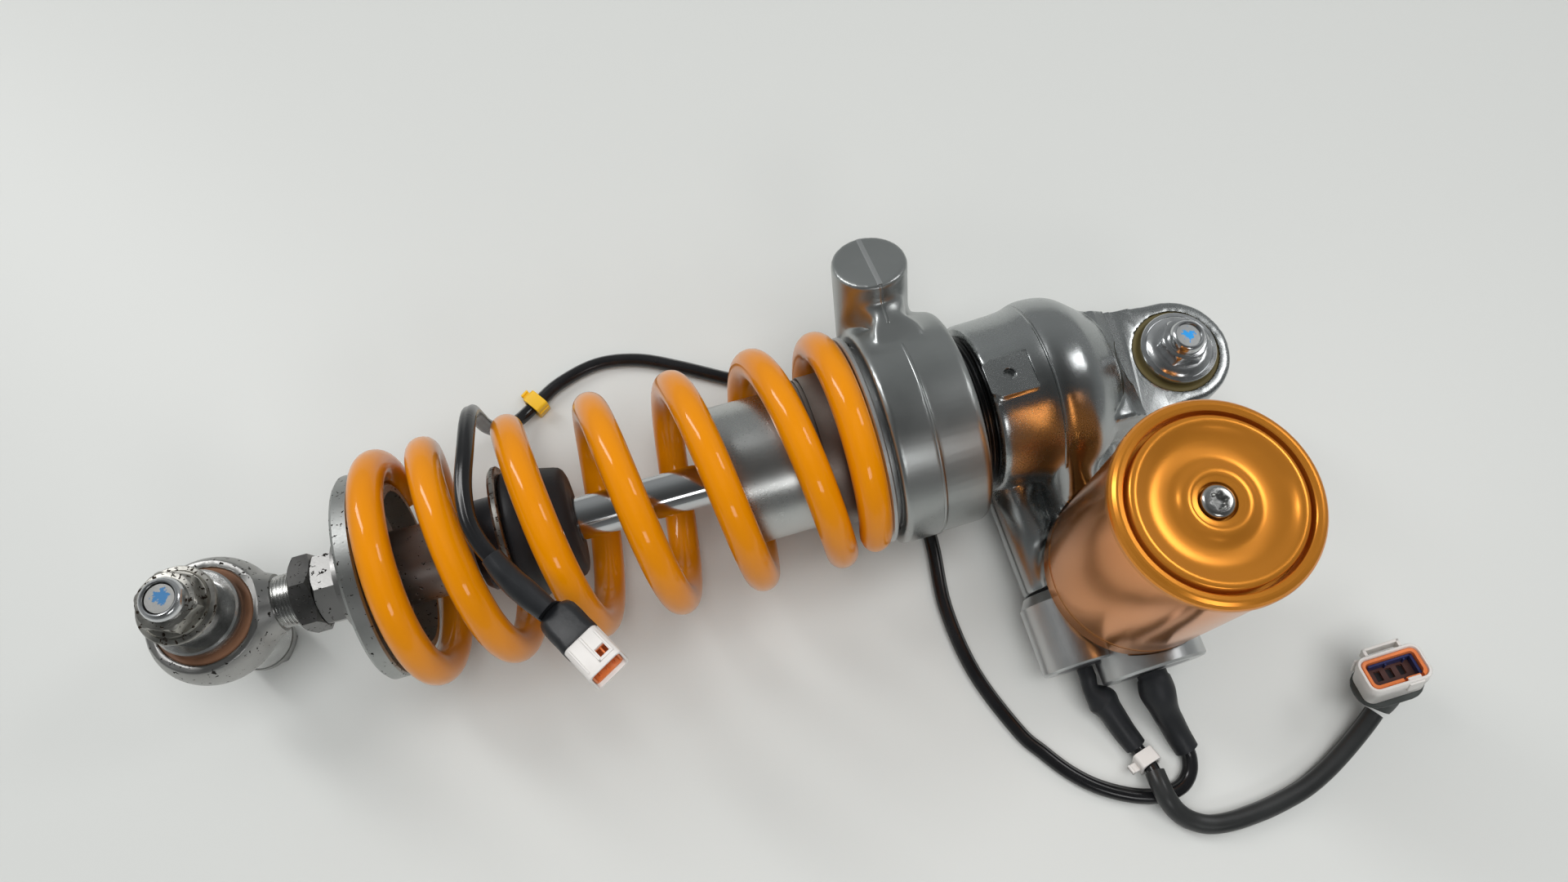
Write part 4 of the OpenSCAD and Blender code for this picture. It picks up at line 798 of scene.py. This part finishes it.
def make_spring():
    pitch = (COIL_END - COIL_START - WIRE_D) / coil_rise(LAST_TURN)
    path = []
    rings = 420
    for i in range(rings + 1):
        u = FIRST_TURN + (LAST_TURN - FIRST_TURN) * i / rings
        a = math.radians(COIL_PHASE - 360 * u)
        path.append((COIL_START + WIRE_D / 2 + pitch * coil_rise(u), COIL_R * math.sin(a),
                     COIL_R * math.cos(a)))
    radii = np.full(rings + 1, WIRE_D / 2)
    # The cut ends of the wire have a small rounded edge
    radii[0] = radii[-1] = WIRE_D / 2 - 0.9
    radii[1] = radii[-2] = WIRE_D / 2 - 0.2
    spring = mesh_object("coil_spring_wire", [sweep(path, radii, 32, (1, 0, 0))], "spring_orange", "damper",
                         "coil_spring")
    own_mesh(spring)
    # The upper end follows the preload piston, and the lower end stays on its seat
    group = spring.vertex_groups.new(name="upper_end")
    for v in spring.data.vertices:
        share = (v.co.x / M - COIL_START) / (COIL_END - COIL_START)
        group.add([v.index], min(1, max(0, share)), "REPLACE")
    hook = spring.modifiers.new("preload", "HOOK")
    hook.object, hook.vertex_group = bpy.data.objects["body:preload_piston"], "upper_end"
    bpy.context.view_layer.update()
    hook.matrix_inverse = hook.object.matrix_world.inverted() @ spring.matrix_world


make_spring()


def make_bump_rubber():
    """Moulded bump rubber: a cup at the plate, a waist, and a rounded nose."""
    start, length, r, bore = 94.4, 20.3, 20.8, 7.05
    profile = [(bore, 0), (r - 1.2, 0), (r - 0.3, 0.4), (r, 1.4), (r, 5.2), (r - 0.35, 5.9), (r - 0.4, 6.4),
               (r - 0.5, 8.2), (r - 1, 10), (r - 1.9, 13.4), (r - 2.7, 17), (r - 3.2, 18.4),
               (r - 4.2, 19.4), (r - 5.6, 19.9), (r - 7.2, 19.7), (bore + 4.4, 19.5), (bore + 2.6, 20.1),
               (bore + 1.2, length), (bore + 0.5, length - 0.3), (bore, length - 1)]
    rubber_piece = mesh_object("bump_rubber_moulding", [placed(along_x(start), turned(profile))],
                               "bump_foam", "rod_assembly", "bump_rubber", 60)
    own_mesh(rubber_piece)


make_bump_rubber()


# Sizes from the CAD source

UPPER_EYE = (316.5, -2.6, 0)
HEAD_X, RING_X, RING_END = 247.6, 212.6, 241.4
THREAD_BORE = 24.95
BOSS_X, BOSS_Y, BOSS_Z, BOSS_LEAN = RING_X + 11.2, 44.7, 35, math.radians(20)
PAD_HOLE = Matrix.Translation((HEAD_X + 7.5, -1.2, 0))
ANNULUS_END = RING_END - 16
PRELOAD_X = ANNULUS_END - 4.5
TUBE_X = HEAD_X - 85.6
SEAL_HEAD_X = TUBE_X + 2.3
# The top-out ring stands between the seal head and the piston's shims
TOPOUT = TUBE_X + 27 - 1.8 - 0.3 - SEAL_HEAD_X - 20
RES_X, RES_Y, RES_Z = 282.3, -63.2, -12.3
RES_H, RIM_H = 74.8, 4.6
RES_TOP = RES_Z + RES_H
RES_POCKET_R = 28.5
RESERVOIR = Matrix.Translation((RES_X, RES_Y, 0))
SMALL_VALVE, BIG_VALVE = [Matrix.Translation((x, -60.5, FLOOR_Z + 17.4))
                          @ Matrix.Rotation(math.radians(90), 4, "X") for x in (RES_X - 23.6, RES_X)]
_, seals_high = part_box("lower_eye_seals")
LOWER_SEAL_TOP = seals_high[2] / M


# Seals: lips and O-rings of round section

def round_ring(r_mid, r_cord, z=0, sides=14):
    """An O-ring lying about Z."""
    return turned([(r_mid + r_cord * math.cos(2 * math.pi * k / sides),
                    z + r_cord * math.sin(2 * math.pi * k / sides)) for k in range(sides)], 72)


def both_faces(eye, profile):
    """The seals on both faces of an eye, from the outline of the upper one."""
    points, faces = turned(profile)
    down = eye @ Matrix.Scale(-1, 4, (0, 0, 1))
    return [placed(eye, (points, faces)), placed(down, (points, [f[::-1] for f in faces]))]


def make_seals():
    z0, z1 = LOWER_SEAL_TOP - 1.0, LOWER_SEAL_TOP
    mesh_object("lower_eye_seal_lips", both_faces(Matrix(), [
        (11, z0), (14.9, z0), (14.9, z1 - 0.5), (14.5, z1 - 0.05), (13.6, z1 - 0.1), (13, z1 - 0.5),
        (12.2, z1 - 0.5), (11.6, z1 - 0.1), (11.1, z1 - 0.2)]), "seal_rust", "eye", "lower_eye_seals")
    mesh_object("upper_eye_seal_lips", both_faces(Matrix.Translation(UPPER_EYE), [
        (8.6, 8.3), (14.2, 8.3), (14.2, 9.6), (13.7, 9.95), (12.9, 9.9), (12.4, 9.5), (11.4, 9.5),
        (10.8, 9.9), (9.4, 9.95), (8.7, 9.5)]), "seal_olive", "damper", "upper_eye_seals")
    x, preload = SEAL_HEAD_X, along_x(PRELOAD_X)
    mesh_object("rod_wiper_lip", [placed(along_x(x), turned(
        [(7.06, 0.3), (7.8, 0.05), (8.6, 0.6), (10.1, 0.6), (10.1, 3.5), (7.6, 3.5), (7.06, 1.2)]))],
        "black_rubber", "damper", "rod_wiper")
    mesh_object("rod_seal_lips", [placed(along_x(x + 5), turned(
        [(7.06, 0.4), (7.8, 0), (10.9, 0), (10.9, 6), (7.8, 6), (7.06, 5.6), (7.6, 3)]))],
        "black_rubber", "damper", "rod_seal")
    for node, body, rings in (
            ("seal_head_o_ring", "damper", [(along_x(x + 15.3), 20.32, 1.04)]),
            ("preload_o_rings", "preload_piston", [(preload, 30.7, 0.7), (preload, 24.2, 0.7)]),
            ("cap_o_ring", "damper", [(RESERVOIR, 24.1, 0.72, RES_TOP - 3.3)]),
            ("valve_o_rings", "damper", [(SMALL_VALVE, 6.65, 0.7), (BIG_VALVE, 10.85, 0.7)]),
            ("floating_piston_ring", "gas_piston", [(RESERVOIR, 23.8, 1.03, 20.5)])):
        mesh_object(node + "_round", [placed(at, round_ring(*sizes)) for at, *sizes in rings],
                    "black_rubber", body, node)
    mesh_object("topout_ring_cushion", [placed(along_x(x + 20), turned(
        [(7.4, 0), (13.6, 0), (14, 0.6), (14, 2.2), (13.6, TOPOUT - 0.1), (7.4, TOPOUT - 0.1)]))],
        "black_rubber", "damper", "topout_ring")


make_seals()


# Cast pieces with their fillets

def radius_about(p, axis, centre=(0, 0, 0)):
    """How far points lie from the line through centre along an axis."""
    i, j = [k for k in range(3) if k != axis]
    return np.hypot(p[:, i] - centre[i], p[:, j] - centre[j])


def make_head():
    head = remeshed("head_casting_fillets", "head_casting", 0.7)

    def kept(p):
        bore = (radius_about(p, 0) < 25.4) & (p[:, 0] < HEAD_X + 60)
        eye = radius_about(p, 2, UPPER_EYE) < 15
        pad = (p[:, 2] > 26.4) & (p[:, 0] < HEAD_X + 15.4) & (np.abs(p[:, 1]) < 9)
        off_pocket = np.abs(radius_about(p, 2, (RES_X, RES_Y)) - RES_POCKET_R)
        return bore | eye | pad | (off_pocket < 0.6) & (p[:, 2] > RES_Z - 0.6)

    soften(head, kept, 120, 16)
    at_eye = Matrix.Translation(UPPER_EYE)
    carve(head,
          placed(at_eye, cylinder(11.5, -30, 30)),
          placed(at_eye, cylinder(14.3, 8.2, 30)), placed(at_eye, cylinder(14.3, -30, -8.2)),
          *[block((297.6, -31, z), (350, 30, z + 30), 0.05) for z in (10, -40)],
          placed(RESERVOIR, cylinder(RES_POCKET_R, RES_Z - 0.01, 60, 128)),
          placed(along_x(HEAD_X - 3), cylinder(THREAD_BORE, 0, 14.5, 128)),
          placed(PAD_HOLE, cylinder(2, 26, 32, 48)),
          block((HEAD_X - 6, -31, -45), (HEAD_X + 0.4, 45, 45), 0.05),
          block((HEAD_X - 1, -7.8, 28.1), (HEAD_X + 15.1, 5.2, 33), 0.05))
    finish_piece(head, "head_grey", "damper", "head_casting", 38)
    outline = ((0.02, -5.8), (3, -7.8), (15.1, -7.8), (15.1, 5.2), (3, 5.2), (0.02, 3.6))
    pad = mesh_object("head_pad", [loft([[(HEAD_X + x, y, z) for x, y in outline] for z in (26.8, 28.2)])],
                      "head_grey", "damper")
    carve(pad, placed(PAD_HOLE, cylinder(2, 24, 32, 48)))
    sharpen(pad, 35)
    bevelled(pad, 0.22, 30)


def make_ring():
    ring = remeshed("preload_ring_fillets", "preload_ring", 0.6)

    def kept(p):
        boss = (p[:, 1] > 12) & (radius_about(p, 0) > 35.2)
        return (radius_about(p, 0) < 36.4) & ~boss

    # The neck under the boss has a waist
    p = positions(ring.data) / M
    out = (p[:, 1] - BOSS_Y) * math.cos(BOSS_LEAN) - (p[:, 2] - BOSS_Z) * math.sin(BOSS_LEAN)
    on_neck = (radius_about(p, 0) > 36.2) & (p[:, 2] > 12) & (out < -9) & (out > -26)
    waist = 0.38 * np.exp(-((out + 15.2) / 3) ** 2) * on_neck
    p[:, 0] -= waist * (p[:, 0] - BOSS_X)
    ring.data.vertices.foreach_set("co", (p * M).ravel())
    soften(ring, kept, 120, 4)
    carve(ring, placed(along_x(RING_X - 6), cylinder(31.45, 0, ANNULUS_END - RING_X + 8, 128)),
          placed(along_x(RING_X - 6), cylinder(THREAD_BORE, 0, 40, 128)))
    finish_piece(ring, "cast_grey", "damper", "preload_ring", 38)
    # The mould's parting line shows on the boss's flat end
    boss = Matrix.Translation((BOSS_X, BOSS_Y, BOSS_Z)) @ Matrix.Rotation(-BOSS_LEAN, 4, "X")
    line = [(-0.8, -0.4), (0.8, -0.4), (0.8, 0.06), (0.5, 0.14), (-0.5, 0.14), (-0.8, 0.06)]
    mesh_object("boss_parting_line", [placed(boss, loft([[(x, y, z) for x, z in line][::-1]
                                                         for y in (-11, -10.6, 10.6, 11)]))],
                "machined", "damper")
    step = [(34, 12.2), (36.05, 12.2), (36.3, 12.5), (36.34, 12.9), (36.2, 13.2), (35.7, 13.6), (34, 13.6)]
    mesh_object("preload_ring_step", [placed(along_x(RING_X), turned(step, 144))], "cast_grey", "damper")


def thread(x0, x1, crest, depth, pitch):
    """The outline of a thread's ridges from x0 to x1."""
    n = max(1, round((x1 - x0) / pitch))
    step = (x1 - x0) / n
    out = []
    for i in range(n):
        out += [(crest - depth, x0 + step * (i + 0.1)), (crest - 0.12, x0 + step * (i + 0.42)),
                (crest, x0 + step * (i + 0.5)), (crest - 0.12, x0 + step * (i + 0.58)),
                (crest - depth, x0 + step * (i + 0.9))]
    return out


def make_tube():
    """The damper tube with the stretch of thread that shows between ring and head."""
    end = HEAD_X + 11.5 - TUBE_X
    shown = RING_END - TUBE_X
    start = shown - 14
    profile = [(21.4, 0), (22.2, 0), (23.3, 1.1), (23.4, 1.6), (23.4, start), (24.9, start + 1.5),
               (24.9, shown - 0.4)]
    profile += thread(shown - 0.2, shown + 6.2, 24.9, 0.8, 1.3)
    profile += [(24.9, shown + 6.4), (24.9, end - 0.6), (24.3, end), (21.4, end)]
    mesh_object("damper_tube_threaded", [placed(along_x(TUBE_X), turned(profile, 144))], "tube_satin",
                "damper", "damper_tube", 25)


def make_eye():
    """The lower eye and its threaded stud."""
    eye = remeshed("lower_eye_forging", "lower_eye", 0.45)

    def kept(p):
        return (radius_about(p, 2) < 18.4) | (p[:, 0] > 21)

    soften(eye, kept, 110, 5)
    face = LOWER_SEAL_TOP - 0.05
    carve(eye, placed(along_x(20.2), cylinder(20, 0, 60)), cylinder(15, -30, 30, 128),
          cylinder(17.3, face, 30, 128), cylinder(17.3, -30, -face, 128))
    finish_piece(eye, "eye_grey", "eye", "lower_eye", 40)
    stud = [(0.01, 18), (8.2, 18), (8.2, 20.4), (7.8, 20.6)] + thread(20.6, 54.6, 8.3, 0.6, 1.0)
    stud += [(7.4, 55.2), (6.8, 56), (0.01, 56)]
    mesh_object("lower_eye_stud", [placed(along_x(0), turned(stud))], "bright_steel", "eye", smooth=25)


make_head()
make_ring()
make_tube()
make_eye()


def make_fill_screw():
    """Button head with a six-lobed recess, seated 4.1 mm below the rim's top."""
    top = RES_TOP + RIM_H - 4.1
    sides = 72

    def loop(r, z, lobes=0.0):
        turns = [2 * math.pi * k / sides for k in range(sides)]
        return [((r + lobes * math.cos(6 * a)) * math.cos(a), (r + lobes * math.cos(6 * a)) * math.sin(a), z)
                for a in turns]
    head = loft([loop(4.7, top), loop(4.7, top + 2.6), loop(4.45, top + 3.1), loop(3.9, top + 3.5),
                 loop(3.3, top + 3.6), loop(2.35, top + 3.6, 0.34), loop(2.1, top + 3.3, 0.34),
                 loop(2.0, top + 1.7, 0.32)])
    shank = cylinder(2.5, top - 4.5, top + 0.5, 48)
    mesh_object("fill_screw_button", [placed(RESERVOIR, head), placed(RESERVOIR, shank)], "bright_steel",
                "damper", "fill_screw", 40)


make_fill_screw()


def make_cap():
    """The cap's face: a lip, a dish, and a flat island round the screw."""
    profile = [(2.6, -5), (24.85, -5), (24.85, -1.6), (23.9, -1.6), (23.9, 3.7), (23.7, 4.15), (23.2, 4.4),
               (22.6, 4.5), (21.9, 4.45), (21.3, 4.25), (20.5, 3.8), (19.4, 3.2), (18.2, 2.75), (16.8, 2.45),
               (15, 2.3), (13.2, 2.25), (12.2, 2.3), (11.3, 2.5), (10.5, 2.85), (9.8, 3.2), (9.1, 3.42),
               (8.3, 3.5), (7.4, 3.48), (7.1, 3.35), (6.8, 3.25), (5.9, 3.22), (5.4, 3.1), (5.3, 2.8),
               (5.3, 0.4), (2.6, 0.4)]
    mesh_object("reservoir_cap_face", [placed(Matrix.Translation((0, 0, RES_TOP)) @ RESERVOIR,
                                              turned(profile, 160))],
                "gold_anodised", "damper", "reservoir_cap", 40)


make_cap()


def hexagonal(af, loops, sides=72):
    """A nut's sides: [height, largest radius] pairs, so the corners are chamfered."""
    out = []
    for z, limit in loops:
        loop = []
        for k in range(sides):
            a = 2 * math.pi * k / sides
            turn = (a + math.pi / 6) % (math.pi / 3) - math.pi / 6
            r = min(af / 2 / math.cos(turn), limit)
            loop.append((r * math.cos(a), r * math.sin(a), z))
        out.append(loop)
    return loft(out)


def flange_nut(name, node, body, at, seat, r, flats, collar_r, collar, turn, look):
    """A locking flange nut: cone flange, chamfered hexagon and a crimped collar.

    The collar is given by how far its outline lies inside collar_r, and at which heights.
    """
    place = Matrix.Translation((at[0], at[1], seat)) @ Matrix.Rotation(math.radians(turn), 4, "Z")
    flange = turned([(5.1, 0), (r, 0), (r, 0.9), (r - 0.25, 1.2), (r - 1.4, 1.5), (r - 1.6, 1.35),
                     (r - 1.8, 1.6), (flats / 2 + 1.4, 2.6), (5.1, 2.6)])
    corner = flats / math.sqrt(3)
    sides = hexagonal(flats, [(1.2, corner), (6, corner), (6.7, corner - 0.35), (7.3, flats / 2 + 0.2),
                              (7.5, flats / 2 - 0.3)])
    hexagon = mesh_object(name, [placed(place, sides)], look, body, node, 35)
    carve(hexagon, placed(place, cylinder(5.08, -0.5, 12, 72)))
    sharpen(hexagon, 35)
    mesh_object(name + "_flange", [placed(place, flange)], look, body, smooth=35)
    outline = [(5.1, 4), (collar_r, 4)] + [(collar_r - inset, z) for inset, z in collar]
    mesh_object(name + "_collar", [placed(place, turned(outline))], "zinc", body, smooth=40)


flange_nut("lower_flange_nut", "lower_nut", "lower_fixing", (0, 0), 23.4, 11.6, 16.5, 6.6,
           [(0, 8.4), (0.15, 9.4), (0.6, 10.3), (1.1, 10.8), (1.5, 10.95), (1.9, 10.8), (2, 10.4),
            (1.6, 10), (1.5, 9.8)], 8, "dull_steel")
flange_nut("upper_flange_nut", "upper_nut", "upper_fixing", UPPER_EYE, 12, 12.4, 14, 5.8,
           [(0, 8.6), (0.2, 9.6), (0.6, 10.4), (1, 10.8), (1.4, 10.95), (1.8, 10.8), (1.9, 10.4),
            (1.5, 10), (0.6, 9.8)], 20, "zinc")


def make_floor():
    size, z = 3.0, (FLOOR_Z - 0.05) * M
    mesh = bpy.data.meshes.new("floor")
    corners = [(-size, -size, z), (size, -size, z), (size, size, z), (-size, size, z)]
    mesh.from_pydata(corners, [], [(0, 1, 2, 3)])
    floor = bpy.data.objects.new("floor", mesh)
    SCENE.collection.objects.link(floor)
    s = Shader("floor", (0.66, 0.67, 0.65), 0.0, 0.4, specular_ior_level=0.3)
    mesh.materials.append(s.mat)


make_floor()
SCENE.view_settings.view_transform = "Standard"
